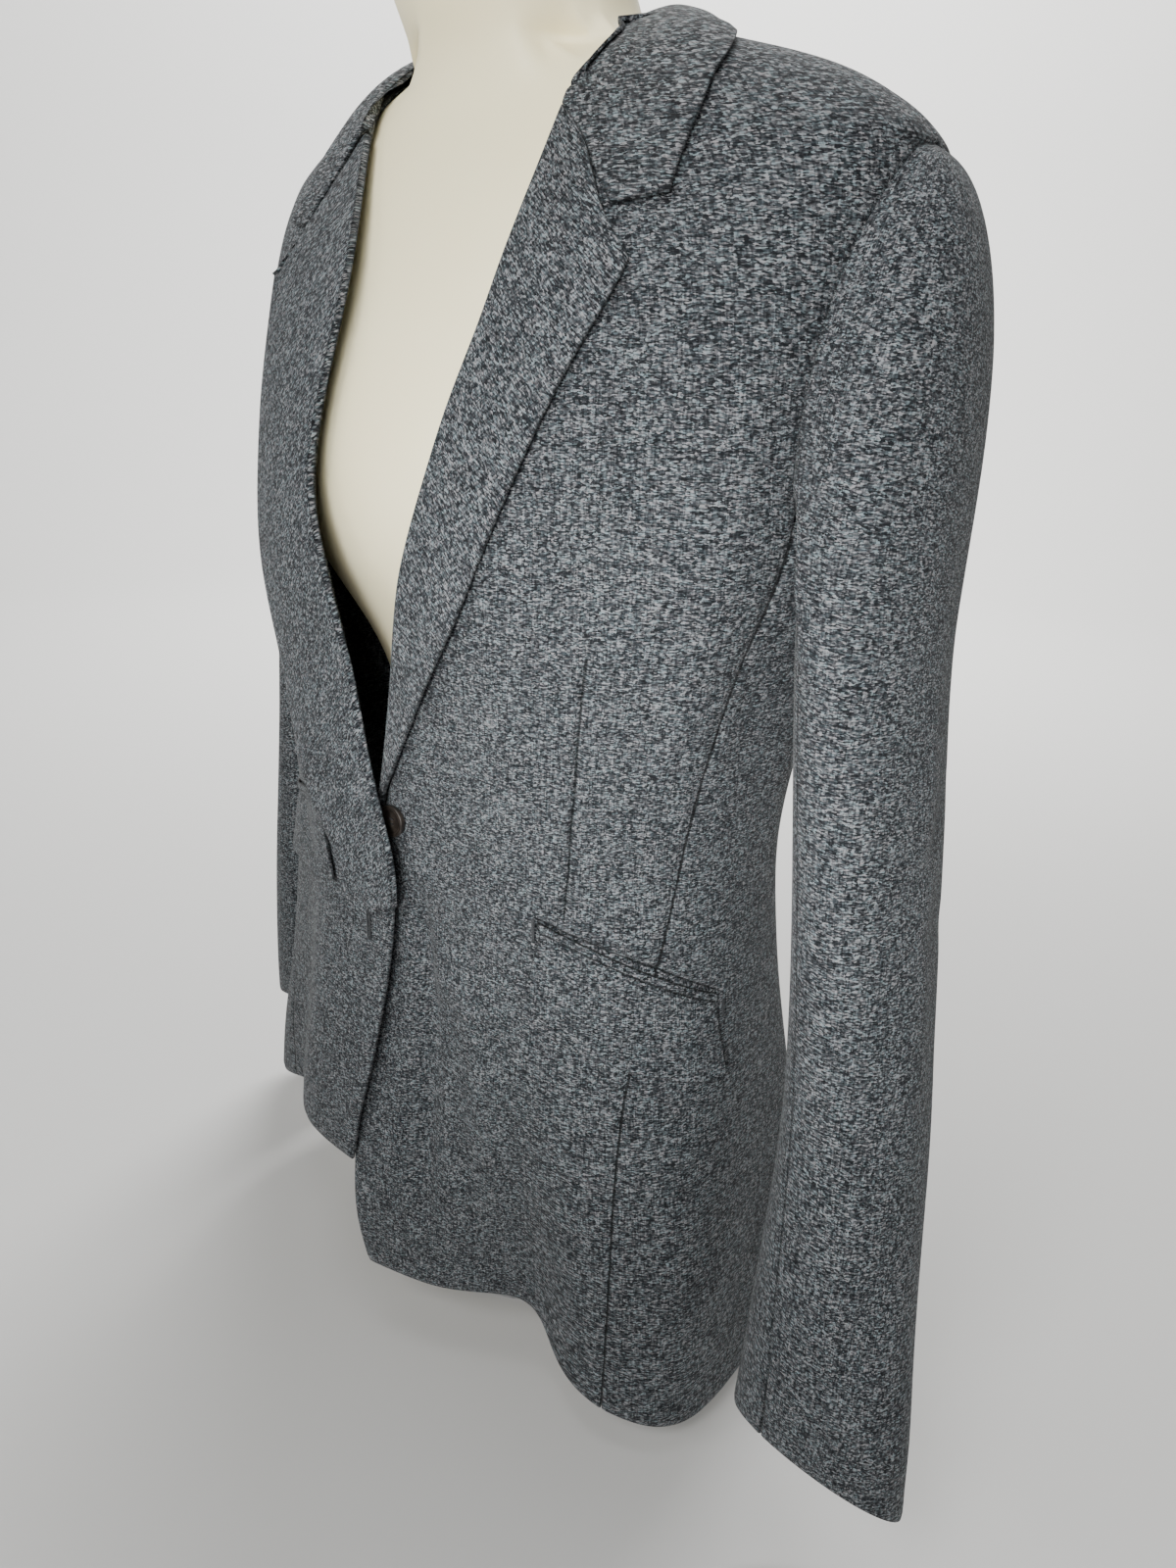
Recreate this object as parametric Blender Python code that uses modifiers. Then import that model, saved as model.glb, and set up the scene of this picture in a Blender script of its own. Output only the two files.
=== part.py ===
"""Single breasted blazer, hung on a plain limbless torso form with a short stand.

Metres, +Z up. The wearer faces -Y and the wearer's left is +X. The origin is the middle of
the stand's underside. Heights on the cloth are given as a drop below the side of the neck.
"""

from collections import namedtuple

import bpy
import numpy as np

# ---- Driving sizes -------------------------------------------------------------------------
NECK_HEIGHT = 0.755        # side of the neck over the table
HEM_LEVEL = 0.700          # last ring of the body table
STRAIGHT_DROP = 0.550      # above this drop the rings lie level
CLOTH = 0.0016             # outer cloth with its facing
LINING = 0.0010
LINING_GAP = 0.0010        # the lining hangs free of the cloth by this
SEAM_GAP = 0.0003
HALF_SEAM = SEAM_GAP / 2
FRONT_SEAM_EASE = 1.8      # the side front seams curve, so they stay this much wider
BACK_SEAM_EASE = 2.4       # the side back seams run along hollows and stay this much wider
OVERLAP_LIFT = 0.0100      # the right front lies this far out where it laps over the left
SKIRT_LIFT = 0.0080        # and this much further out towards the hem

SHOULDER_DROP = 0.056      # shoulder tip
ARMHOLE_DROP = 0.145       # middle of the armhole
ARMHOLE_HALF_HEIGHT = 0.089
ARMHOLE_HALF_TURN = 19.4   # half width of the armhole, in degrees round the body
ARMHOLE_SQUARE = 2.4
SIDE_JOIN_DROP = 0.205     # where both side seams meet the armhole

SLEEVE_CAP_DROP = 0.250    # the sleeve is a free tube below this drop
HEAD_FULLNESS = 3.3        # how quickly the sleeve head swells out from the armhole
HEAD_FALL = 1.35           # and how slowly it falls
SLEEVE_CLEARANCE = 0.0045  # between the sleeve and the body of the coat
SLEEVE_SEAM_ANGLE = 118.0  # the upper sleeve reaches this far each way from the shoulder
SLEEVE_SEAM_GAP = 0.50     # half the gap at that seam, in degrees

# The coat hangs a little askew, so its left and right halves have their own widths.
Ring = namedtuple("Ring", "drop left right front back square")
BODY_RINGS = (
    Ring(0.000, 0.078, 0.076, 0.031, 0.042, 2.0),
    Ring(0.010, 0.110, 0.089, 0.041, 0.054, 2.2),
    Ring(0.017, 0.137, 0.102, 0.048, 0.063, 2.3),
    Ring(0.026, 0.165, 0.117, 0.055, 0.071, 2.4),
    Ring(0.038, 0.187, 0.135, 0.062, 0.080, 2.5),
    Ring(0.056, 0.208, 0.155, 0.072, 0.089, 2.7),
    Ring(0.080, 0.205, 0.162, 0.088, 0.100, 2.7),
    Ring(0.120, 0.198, 0.160, 0.110, 0.108, 2.6),
    Ring(0.180, 0.193, 0.161, 0.128, 0.106, 2.5),
    Ring(0.240, 0.190, 0.167, 0.135, 0.098, 2.4),
    Ring(0.310, 0.175, 0.170, 0.125, 0.082, 2.4),
    Ring(0.385, 0.165, 0.166, 0.118, 0.074, 2.4),
    Ring(0.460, 0.170, 0.172, 0.116, 0.082, 2.6),
    Ring(0.540, 0.179, 0.181, 0.121, 0.095, 2.8),
    Ring(0.620, 0.191, 0.189, 0.125, 0.106, 3.0),
    Ring(0.700, 0.199, 0.194, 0.127, 0.112, 3.1),
)
# Where the hem hangs, all the way round each half.
HemMark = namedtuple("HemMark", "turn left right")
HEM = (
    HemMark(-20.0, 0.690, 0.614), HemMark(0.0, 0.697, 0.617), HemMark(14.0, 0.692, 0.618),
    HemMark(20.0, 0.698, 0.619), HemMark(26.0, 0.716, 0.621), HemMark(34.0, 0.723, 0.627),
    HemMark(46.0, 0.729, 0.638), HemMark(62.0, 0.738, 0.654),
    HemMark(95.0, 0.743, 0.662), HemMark(140.0, 0.712, 0.676),
    HemMark(180.0, 0.688, 0.688),
)

# Standing folds of the skirt. The turn is in degrees from the middle of the front to the side.
Fold = namedtuple("Fold", "turn half_turn depth start_drop")
LEFT_FOLDS = (
    Fold(-6, 9, 0.022, 0.450), Fold(17, 10, -0.020, 0.480), Fold(54, 18, 0.014, 0.470),
    Fold(118, 13, 0.009, 0.430), Fold(146, 11, -0.007, 0.450),
)
RIGHT_FOLDS = (
    Fold(30, 15, -0.012, 0.430), Fold(64, 14, 0.005, 0.500), Fold(118, 13, 0.008, 0.430),
    Fold(150, 12, -0.007, 0.460),
)

# Seam and edge lines: drop against the distance across from the middle, both metres.
# The right side's lines are measured towards the wearer's right.
Mark = namedtuple("Mark", "drop across")
LEFT_ROLL = (
    Mark(0.000, 0.077), Mark(0.010, 0.076), Mark(0.028, 0.0700), Mark(0.0425, 0.0640),
    Mark(0.060, 0.0640), Mark(0.080, 0.0640), Mark(0.118, 0.0620),
    Mark(0.170, 0.0490), Mark(0.246, 0.0265), Mark(0.310, 0.0065), Mark(0.376, -0.0130),
    Mark(0.430, -0.034), Mark(0.600, -0.034), Mark(0.675, -0.031), Mark(0.700, -0.022),
)
RIGHT_ROLL = (
    Mark(0.000, 0.077), Mark(0.010, 0.076), Mark(0.028, 0.0700), Mark(0.0425, 0.0625),
    Mark(0.060, 0.0545), Mark(0.080, 0.0445), Mark(0.100, 0.0360), Mark(0.118, 0.0320),
    Mark(0.150, 0.0335), Mark(0.200, 0.0400), Mark(0.246, 0.0270), Mark(0.310, 0.0185),
    Mark(0.376, 0.0005), Mark(0.410, -0.0055), Mark(0.450, -0.0015), Mark(0.500, 0.0045),
    Mark(0.600, 0.0165), Mark(0.700, 0.0250),
)
# Side seams, in degrees round the body instead of metres across.
Seam = namedtuple("Seam", "drop turn")
SIDE_FRONT_SEAM = (
    Seam(0.205, 74.0), Seam(0.270, 67.5), Seam(0.316, 64.8), Seam(0.387, 62.0),
    Seam(0.436, 57.0), Seam(0.495, 49.0), Seam(0.560, 44.5), Seam(0.700, 39.5),
)
SIDE_BACK_SEAM = (
    Seam(0.205, 106.0), Seam(0.300, 116.0), Seam(0.385, 121.0), Seam(0.500, 126.0),
    Seam(0.700, 130.0),
)

# Lapels: each row joins a point of the roll line to a point of the outer edge.
LapelRow = namedtuple("LapelRow", "roll_drop edge_across edge_drop lift")
LEFT_LAPEL = (
    LapelRow(0.374, -0.011, 0.372, 0.0046),
    LapelRow(0.330, 0.016, 0.328, 0.0065),
    LapelRow(0.285, 0.040, 0.288, 0.0075),
    LapelRow(0.240, 0.064, 0.250, 0.0065),
    LapelRow(0.195, 0.089, 0.188, 0.0050),
    LapelRow(0.150, 0.107, 0.142, 0.0042),
    LapelRow(0.100, 0.119, 0.114, 0.0040),
    LapelRow(0.0435, 0.121, 0.106, 0.0040),
)
RIGHT_LAPEL = (
    LapelRow(0.428, 0.014, 0.438, 0.0040),
    LapelRow(0.389, 0.037, 0.406, 0.0065),
    LapelRow(0.347, 0.062, 0.372, 0.0080),
    LapelRow(0.300, 0.083, 0.330, 0.0070),
    LapelRow(0.250, 0.094, 0.276, 0.0055),
    LapelRow(0.200, 0.098, 0.216, 0.0045),
    LapelRow(0.150, 0.098, 0.158, 0.0040),
    LapelRow(0.100, 0.102, 0.116, 0.0040),
    LapelRow(0.0435, 0.104, 0.106, 0.0040),
)
ROLL_RADIUS = 0.0030       # the soft turn of the cloth along the roll line
ROLL_TUCK = 0.0015         # the facing starts this far behind the front's edge
ROLL_RISE = 0.0042         # the lapel's outer face stands this far off the front at the roll
FACING_CLOTH = 0.0014      # lapels and flaps

# Collar, from the gorge to the middle of the back: stand, fold and fall. The fold is a free
# line round the neck, and the edge lies on the body at a turn and a drop.
CollarStation = namedtuple("CollarStation", "fold_x fold_y fold_z edge_turn edge_drop foot_drop")
COLLAR = (
    CollarStation(0.0642, -0.0668, -0.0412, 32.9, 0.0812, 0.0405),
    CollarStation(0.0645, -0.0635, -0.0343, 32.1, 0.0690, 0.0335),
    CollarStation(0.0655, -0.0570, -0.0282, 31.9, 0.0575, 0.0265),
    CollarStation(0.0665, -0.0430, -0.0175, 37.0, 0.0415, 0.0160),
    CollarStation(0.0650, -0.0230, -0.0025, 48.0, 0.0265, 0.0060),
    CollarStation(0.0635, 0.0080, 0.0110, 92.0, 0.0080, 0.0030),
    CollarStation(0.0550, 0.0330, 0.0185, 128.0, 0.0080, 0.0030),
    CollarStation(0.0310, 0.0520, 0.0210, 160.0, 0.0175, 0.0030),
    CollarStation(0.0000, 0.0580, 0.0220, 180.0, 0.0210, 0.0030),
)
# The gorge seam joins lapel and collar as far as the notch, where their edges part.
LAPEL_TOP = (Seam(0.0435, 13.0), Seam(0.0882, 23.5), Seam(0.1076, 31.6))
COLLAR_FRONT = (Seam(0.0420, 13.0), Seam(0.0856, 23.5), Seam(0.0812, 32.9))
GORGE_SHARE = 0.22         # the collar lies flat on the chest for this share of its half
LAPEL_TOP_SHARE = 0.14     # and the lapel's rows bend to its top edge over this one
COLLAR_CLOTH = 0.0014
COLLAR_REST = 0.0030       # the fall lies this far over the shoulders
COLLAR_EDGE_LIFT = 0.0040  # its edge, and the arch of the fall between fold and edge
COLLAR_ARCH = 0.0045
FOOT_LIFT = 0.0026         # the foot of the stand over the neckline
FOOT_OUT = 0.0006          # and off it
FOOT_INSIDE = 0.0020       # and inside the roll line

# Sleeve: level sections of the free tube, an oval with its middle and half sizes.
Section = namedtuple("Section", "drop middle_x middle_y half_x half_y")
LEFT_SLEEVE = (
    Section(0.250, 0.2145, -0.011, 0.0320, 0.0620),
    Section(0.300, 0.2210, -0.015, 0.0315, 0.0600),
    Section(0.380, 0.2335, -0.024, 0.0320, 0.0560),
    Section(0.460, 0.2470, -0.038, 0.0340, 0.0500),
    Section(0.530, 0.2585, -0.058, 0.0380, 0.0430),
    Section(0.590, 0.2670, -0.078, 0.0425, 0.0350),
    Section(0.640, 0.2745, -0.092, 0.0470, 0.0290),
    Section(0.700, 0.2775, -0.100, 0.0500, 0.0250),
)
RIGHT_SLEEVE = (
    Section(0.250, 0.2010, 0.026, 0.0350, 0.0540),
    Section(0.300, 0.2080, 0.027, 0.0345, 0.0530),
    Section(0.380, 0.2200, 0.027, 0.0345, 0.0510),
    Section(0.460, 0.2310, 0.024, 0.0355, 0.0480),
    Section(0.530, 0.2390, 0.019, 0.0370, 0.0440),
    Section(0.590, 0.2430, 0.014, 0.0390, 0.0390),
    Section(0.640, 0.2460, 0.010, 0.0410, 0.0340),
    Section(0.700, 0.2480, 0.008, 0.0430, 0.0300),
)
CUFF_DROP = 0.672
CUFF_SLANT = 0.006         # the outer side of the cuff is lower by this
CUFF_RISE = 0.022          # and its front is higher by this

# Flap pockets: the upper line runs from the front end to the back end.
Pocket = namedtuple("Pocket", "front_turn back_turn front_drop back_drop depth back_depth")
LEFT_POCKET = Pocket(28.5, 74.0, 0.416, 0.460, 0.0690, 0.0520)
RIGHT_POCKET = Pocket(17.0, 60.0, 0.380, 0.410, 0.058, 0.044)
FLAP_LIFT = 0.0026         # the flap's lower edge stands off by this
FLAP_SPREAD = 0.20         # and is this much longer than the upper one
FLAP_MIDDLE = 0.68         # the share of its length that hangs straight down
FLAP_CORNER = 0.10         # rounding of its corners: a share of the depth, and of the length
FLAP_CORNER_LENGTH = 0.12
JET_DEPTH = 0.0055
JET_CLOTH = 0.0010

BUTTON_RADIUS = 0.0090
BUTTON_THICKNESS = 0.0030
BUTTON_STAND = 0.0012      # the thread holds it this far off the cloth
BUTTON_TURN = -0.35
BUTTON_DROP = 0.380

# Torso form, general figure, and its stand.
FormRing = namedtuple("FormRing", "drop left right front back middle_y square")
FORM_RINGS = (
    FormRing(-0.100, 0.060, 0.070, 0.062, 0.058, -0.054, 2.0),
    FormRing(-0.060, 0.059, 0.066, 0.062, 0.058, -0.041, 2.0),
    FormRing(-0.030, 0.057, 0.061, 0.061, 0.058, -0.029, 2.0),
    FormRing(-0.005, 0.057, 0.061, 0.060, 0.050, -0.014, 2.0),
    FormRing(0.012, 0.078, 0.078, 0.055, 0.050, -0.006, 2.1),
    FormRing(0.035, 0.150, 0.118, 0.058, 0.068, 0.000, 2.3),
    FormRing(0.060, 0.172, 0.144, 0.070, 0.080, 0.000, 2.4),
    FormRing(0.110, 0.165, 0.146, 0.094, 0.092, 0.000, 2.4),
    FormRing(0.180, 0.155, 0.140, 0.122, 0.094, 0.000, 2.3),
    FormRing(0.225, 0.150, 0.138, 0.126, 0.086, 0.000, 2.3),
    FormRing(0.290, 0.122, 0.106, 0.086, 0.074, 0.000, 2.2),
    FormRing(0.370, 0.106, 0.094, 0.060, 0.060, 0.000, 2.1),
    FormRing(0.460, 0.118, 0.108, 0.066, 0.066, 0.000, 2.2),
    FormRing(0.540, 0.128, 0.122, 0.074, 0.076, 0.000, 2.3),
    FormRing(0.610, 0.130, 0.124, 0.074, 0.080, 0.000, 2.3),
)
FORM_BOTTOM = 0.610
FORM_CLEARANCE = 0.0030    # from the outer face of the cloth at the shoulders
POLE_RADIUS = 0.0125
BASE_RADIUS = 0.095
BASE_THICKNESS = 0.012
BASE_EDGE = 0.004
STAND_Y = 0.018

GREY = (0.105, 0.110, 0.118, 1.0)
BLACK = (0.012, 0.012, 0.014, 1.0)
HORN = (0.020, 0.017, 0.014, 1.0)
CREAM = (0.74, 0.70, 0.60, 1.0)
STEEL = (0.55, 0.55, 0.56, 1.0)


# ---- Curves through tables -----------------------------------------------------------------
def follow(table, at, column=0):
    """Reads a smooth curve through the rows of a table, with no overshoot between rows."""
    rows = np.array(table, float)
    key = rows[:, column]
    values = np.delete(rows, column, axis=1)
    if key[0] > key[-1]:
        key, values = key[::-1], values[::-1]
    step = np.diff(key)[:, None]
    slope = np.diff(values, axis=0) / step
    bend = np.zeros_like(values)
    bend[0], bend[-1] = slope[0], slope[-1]
    same = slope[:-1] * slope[1:] > 0
    total = np.where(same, slope[:-1] + slope[1:], 1.0)
    bend[1:-1] = np.where(same, 2 * slope[:-1] * slope[1:] / total, 0.0)
    at = np.clip(np.asarray(at, float), key[0], key[-1])
    cell = np.clip(np.searchsorted(key, at, side="right") - 1, 0, len(key) - 2)
    width = step[cell]
    part = ((at - key[cell])[..., None]) / width
    return (
        (2 * part**3 - 3 * part**2 + 1) * values[cell]
        + (part**3 - 2 * part**2 + part) * width * bend[cell]
        + (3 * part**2 - 2 * part**3) * values[cell + 1]
        + (part**3 - part**2) * width * bend[cell + 1]
    )


def ease(value):
    """Goes softly from 0 to 1 as the value does."""
    value = np.clip(value, 0.0, 1.0)
    return value * value * (3 - 2 * value)


def oval(turn, half_width, front, back, square):
    """A level oval round the body: x and y at each turn from the middle of the front."""
    sine, cosine = np.sin(np.radians(turn)), np.cos(np.radians(turn))
    x = half_width * np.sign(sine) * np.abs(sine) ** (2 / square)
    depth = np.where(cosine > 0, front, back)
    y = -depth * np.sign(cosine) * np.abs(cosine) ** (2 / square)
    return x, y


# ---- The body of the coat ------------------------------------------------------------------
def sign_of(side):
    return 1.0 if side == "left" else -1.0


def outward(side, points):
    """Mirrors points of the right side, so that x counts outwards, or back again."""
    return points * np.array([sign_of(side), 1, 1])


def ring_sizes(side, drop):
    """Half width on this side, front depth, back depth and squareness at a drop."""
    left, right, front, back, square = np.moveaxis(follow(BODY_RINGS, drop), -1, 0)
    return (left if side == "left" else right), front, back, square


def fold_height(side, turn, drop):
    """How far the standing folds of the skirt come out here."""
    height = np.zeros(np.broadcast(turn, drop).shape)
    for fold in LEFT_FOLDS if side == "left" else RIGHT_FOLDS:
        ripple = np.exp(-(((turn - fold.turn) / fold.half_turn) ** 2))
        grow = ease((drop - fold.start_drop) / (HEM_LEVEL - fold.start_drop))
        height += fold.depth * ripple * grow
    return height


def smooth_body(side, turn, drop):
    """The body without its folds. The skirt is stretched down to the hem's own line."""
    half_width, front, back, square = ring_sizes(side, drop)
    x, y = oval(turn, half_width, front, back, square)
    hem = follow(HEM, turn)[..., 0 if side == "left" else 1]
    below = np.maximum(drop - STRAIGHT_DROP, 0.0) / (HEM_LEVEL - STRAIGHT_DROP)
    hung = np.minimum(drop, STRAIGHT_DROP) + below * (hem - STRAIGHT_DROP)
    return np.stack([x * sign_of(side), y, NECK_HEIGHT - hung], -1)


def body(side, turn, drop, out=0.0):
    """A point of the coat's outer face, moved out along the face's normal."""
    turn, drop = np.broadcast_arrays(np.asarray(turn, float), np.asarray(drop, float))
    level = np.clip(drop, 0.002, HEM_LEVEL - 0.002)
    across = smooth_body(side, turn + 0.5, level) - smooth_body(side, turn - 0.5, level)
    down = smooth_body(side, turn, level + 0.002) - smooth_body(side, turn, level - 0.002)
    normal = np.cross(down, across) * sign_of(side)
    normal /= np.linalg.norm(normal, axis=-1, keepdims=True)
    moved = np.asarray(out + fold_height(side, turn, drop))
    return smooth_body(side, turn, drop) + normal * moved[..., None]


def turn_at(side, across, drop):
    """The turn round the front at a distance across from the middle."""
    half_width, _, _, square = ring_sizes(side, drop)
    part = np.clip(np.abs(across) / half_width, 0.0, 1.0) ** (square / 2)
    return np.sign(across) * np.degrees(np.arcsin(part))


def armhole_turn(drop):
    """Half the armhole's width at a drop, in degrees from the side of the body."""
    part = np.abs(np.asarray(drop) - ARMHOLE_DROP) / ARMHOLE_HALF_HEIGHT
    part = np.clip(part, 0.0, 1.0)
    return ARMHOLE_HALF_TURN * (1 - part**ARMHOLE_SQUARE) ** (1 / ARMHOLE_SQUARE)


def panel_drops():
    """Drops of a panel's rows: close together at the shoulder and round the armhole."""
    skirt = np.linspace(HEM_LEVEL, ARMHOLE_DROP + ARMHOLE_HALF_HEIGHT, 15)[:-1]
    bottom, top = ARMHOLE_DROP + ARMHOLE_HALF_HEIGHT, SHOULDER_DROP
    swing = np.linspace(0, np.pi, 9)
    chest = (bottom + top) / 2 + (bottom - top) / 2 * np.cos(swing)
    shoulder = np.linspace(SHOULDER_DROP, 0.002, 6)[1:]
    return np.concatenate([skirt, chest, shoulder])


def outer_limit(drop, seam):
    """Where a panel ends at the side: its seam, then the armhole, then the shoulder seam."""
    side = follow(seam, drop)[..., 0]
    sign = -1.0 if seam is SIDE_FRONT_SEAM else 1.0
    hole = 90.0 + sign * armhole_turn(drop)
    limit = np.where(drop > SIDE_JOIN_DROP, side, hole) + sign * seam_turn(drop)
    _, depth, _, square = ring_sizes("left", drop)
    shoulder = 90.0 + sign * np.degrees(np.arcsin((HALF_SEAM / depth) ** (square / 2)))
    return np.where(drop < SHOULDER_DROP, shoulder, limit)


def seam_turn(drop):
    """Half a seam's gap, in degrees round the body, at the sides."""
    half_width = ring_sizes("right", drop)[0]
    return np.degrees(HALF_SEAM / half_width) * 1.6


def lap_lift(side, turn, drop):
    """The right front rises where it lies over the left one."""
    if side == "left":
        return 0.0
    near = ease((34.0 - turn) / 22.0)
    low = ease((drop - 0.290) / 0.080)
    skirt = ease((drop - 0.440) / 0.140)
    return (OVERLAP_LIFT * low + SKIRT_LIFT * skirt) * near


def front_panel(side, out=0.0):
    roll = LEFT_ROLL if side == "left" else RIGHT_ROLL
    drop = panel_drops()[:, None]
    first = turn_at(side, follow(roll, drop)[..., 0] + ROLL_RADIUS, drop)
    last = outer_limit(drop, SIDE_FRONT_SEAM)
    share = np.linspace(0, 1, 12)[None, :]
    turn = first + (last - first) * share
    turn, drop = np.broadcast_arrays(turn, drop)
    return body(side, turn, drop, lap_lift(side, turn, drop) + out)


def side_panel(side):
    """The narrow panel under the arm, whose top follows the bottom of the armhole."""
    share = np.linspace(0, 1, 9)[None, :]
    rows = panel_drops()
    rows = np.append(rows[rows > SIDE_JOIN_DROP], SIDE_JOIN_DROP + SEAM_GAP)
    height = ((HEM_LEVEL - rows) / (HEM_LEVEL - rows[-1]))[:, None]
    front_top = 90.0 - armhole_turn(SIDE_JOIN_DROP)
    back_top = 90.0 + armhole_turn(SIDE_JOIN_DROP)
    away = np.abs(front_top + (back_top - front_top) * share - 90.0) / ARMHOLE_HALF_TURN
    bottom = ARMHOLE_HALF_HEIGHT * (1 - away**ARMHOLE_SQUARE) ** (1 / ARMHOLE_SQUARE)
    top = ARMHOLE_DROP + bottom + SEAM_GAP
    drop = HEM_LEVEL + (top - HEM_LEVEL) * height
    first = follow(SIDE_FRONT_SEAM, drop)[..., 0] + seam_turn(drop) * FRONT_SEAM_EASE
    last = follow(SIDE_BACK_SEAM, drop)[..., 0] - seam_turn(drop) * BACK_SEAM_EASE
    turn = first + (last - first) * share
    return body(side, turn, drop)


def back_panel(side):
    drop = panel_drops()[:, None]
    first = outer_limit(drop, SIDE_BACK_SEAM) + seam_turn(drop) * (BACK_SEAM_EASE - 1)
    last = 180.0 - turn_at(side, HALF_SEAM, drop)
    share = np.linspace(0, 1, 9)[None, :]
    turn = first + (last - first) * share
    turn, drop = np.broadcast_arrays(turn, drop)
    return body(side, turn, drop)


def lining_panel(side):
    """Black lining of the front, made from the panel's own points, inside the hem and facing."""
    grid = front_panel(side, -(CLOTH + LINING_GAP))
    return grid[2:18, 1:]


# ---- Lapels, collar, pockets ---------------------------------------------------------------
def at_turn(line, turn):
    """The drop of a line of seam points at a turn, straight between the points."""
    drops, turns = np.array(line).T
    return np.interp(turn, turns, drops)


def lapel(side):
    """The front's facing, turned back over the panel along a soft roll."""
    rows = LEFT_LAPEL if side == "left" else RIGHT_LAPEL
    roll = LEFT_ROLL if side == "left" else RIGHT_ROLL
    steps = np.linspace(0, 1, 19)
    table = [(at, *row) for at, row in zip(np.linspace(0, 1, len(rows)), rows)]
    roll_drop, edge_across, edge_drop, lift = follow(table, steps).T
    roll_across = follow(roll, roll_drop)[..., 0]
    roll_turn = turn_at(side, roll_across, roll_drop)
    edge_turn = turn_at(side, edge_across, edge_drop)
    under = lap_lift(side, roll_turn, roll_drop)
    # The roll: tucked behind the panel's edge, round the front of it, and up on to it.
    tucked = turn_at(side, roll_across + ROLL_RADIUS - ROLL_TUCK, roll_drop)
    foremost = turn_at(side, roll_across - ROLL_RADIUS * 0.6, roll_drop)
    columns = [
        (tucked, roll_drop, under), (foremost, roll_drop, under + CLOTH),
        (roll_turn, roll_drop, under + ROLL_RISE),
    ]
    near_top = ease((steps - 1 + LAPEL_TOP_SHARE) / LAPEL_TOP_SHARE)
    for share in (0.12, 0.32, 0.55, 0.78, 1.0):
        turn = roll_turn + (edge_turn - roll_turn) * share
        drop = roll_drop + (edge_drop - roll_drop) * share
        drop = drop + (at_turn(LAPEL_TOP, turn) - drop) * near_top
        out = lap_lift(side, turn, drop) + ROLL_RISE + (lift - ROLL_RISE) * share
        columns.append((turn, drop, out))
    grid = [body(side, turn, drop, out) for turn, drop, out in columns]
    return np.stack(grid, 1)


def surface_height(side, x, y):
    """Height of the coat's outer face over a point of the plan, at the neck and shoulders."""
    above, below = np.zeros_like(x), np.full_like(x, 0.200)
    for _ in range(24):
        drop = (above + below) / 2
        half_width, front, back, square = ring_sizes(side, drop)
        depth = np.where(y < 0, front, back)
        outside = (np.abs(x) / half_width) ** square + (np.abs(y) / depth) ** square > 1
        above, below = np.where(outside, drop, above), np.where(outside, below, drop)
    return NECK_HEIGHT - (above + below) / 2


def collar_half(side):
    """Half the collar: from the foot of its stand, up to the fold and down to its edge."""
    steps = np.linspace(0, 1, 17)
    table = [(at, *row) for at, row in zip(np.linspace(0, 1, len(COLLAR)), COLLAR)]
    fold_x, fold_y, fold_z, edge_turn, edge_drop, foot_drop = follow(table, steps).T
    fold = np.stack([fold_x, fold_y, NECK_HEIGHT + fold_z], -1)
    edge = outward(side, body(side, edge_turn, edge_drop, COLLAR_EDGE_LIFT))
    # The foot stands on the neckline; over the chest the stand runs out to nothing.
    foot_turn = turn_at(side, follow(LEFT_ROLL, foot_drop)[..., 0] - FOOT_INSIDE, foot_drop)
    around = ease((steps - 0.42) / 0.10)
    back_turn = np.degrees(np.arctan2(fold_x / 0.067, -fold_y / np.where(fold_y < 0, 0.02, 0.058)))
    foot_turn = foot_turn * (1 - around) + back_turn * around
    foot = outward(side, body(side, foot_turn, foot_drop, FOOT_OUT)) + np.array([0, 0, FOOT_LIFT])
    columns = [foot, foot * 0.5 + fold * 0.5, fold]
    stand = ease((steps - 0.15) / 0.35)[:, None]
    # Near the gorge the fall lies flat on the chest, and its end follows the gorge seam.
    fold_drop = np.maximum(-fold_z, 0.002)
    fold_turn = turn_at(side, fold_x, fold_drop)
    flat = (1 - ease(steps / GORGE_SHARE))[:, None]
    for share in (0.12, 0.32, 0.55, 0.78, 1.0):
        turn = fold_turn + (edge_turn - fold_turn) * share
        drop = fold_drop + (edge_drop - fold_drop) * share
        drop = drop + (at_turn(COLLAR_FRONT, turn) - drop) * flat[:, 0]
        lying_out = ROLL_RISE + (COLLAR_EDGE_LIFT - ROLL_RISE) * share
        lying = outward(side, body(side, turn, drop, lying_out))
        point = fold * (1 - share) + edge * share
        point = point + np.array([0, 0, COLLAR_ARCH]) * stand * share * (1 - share) * 4
        point = point * (1 - flat) + lying * flat
        # The fall lies on the shoulders: its lift is upright, so it grows with the slope.
        x, y = point[:, 0], point[:, 1]
        lowest = surface_height(side, x, y)
        fall = lowest - surface_height(side, x * 1.02, y * 1.02)
        slope = fall / (0.02 * np.hypot(x, y))
        lift = COLLAR_REST * np.sqrt(1 + slope**2)
        point[:, 2] = np.maximum(point[:, 2], lowest + lift)
        columns.append(point)
    return outward(side, np.stack(columns, 1))


def pocket_point(side, along, below, out):
    """A point of a flap or jet: along from the front end, below the upper line."""
    pocket = LEFT_POCKET if side == "left" else RIGHT_POCKET
    turn = pocket.front_turn + (pocket.back_turn - pocket.front_turn) * along
    drop = pocket.front_drop + (pocket.back_drop - pocket.front_drop) * along + below
    return body(side, turn, drop, out + lap_lift(side, turn, drop))


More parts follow.
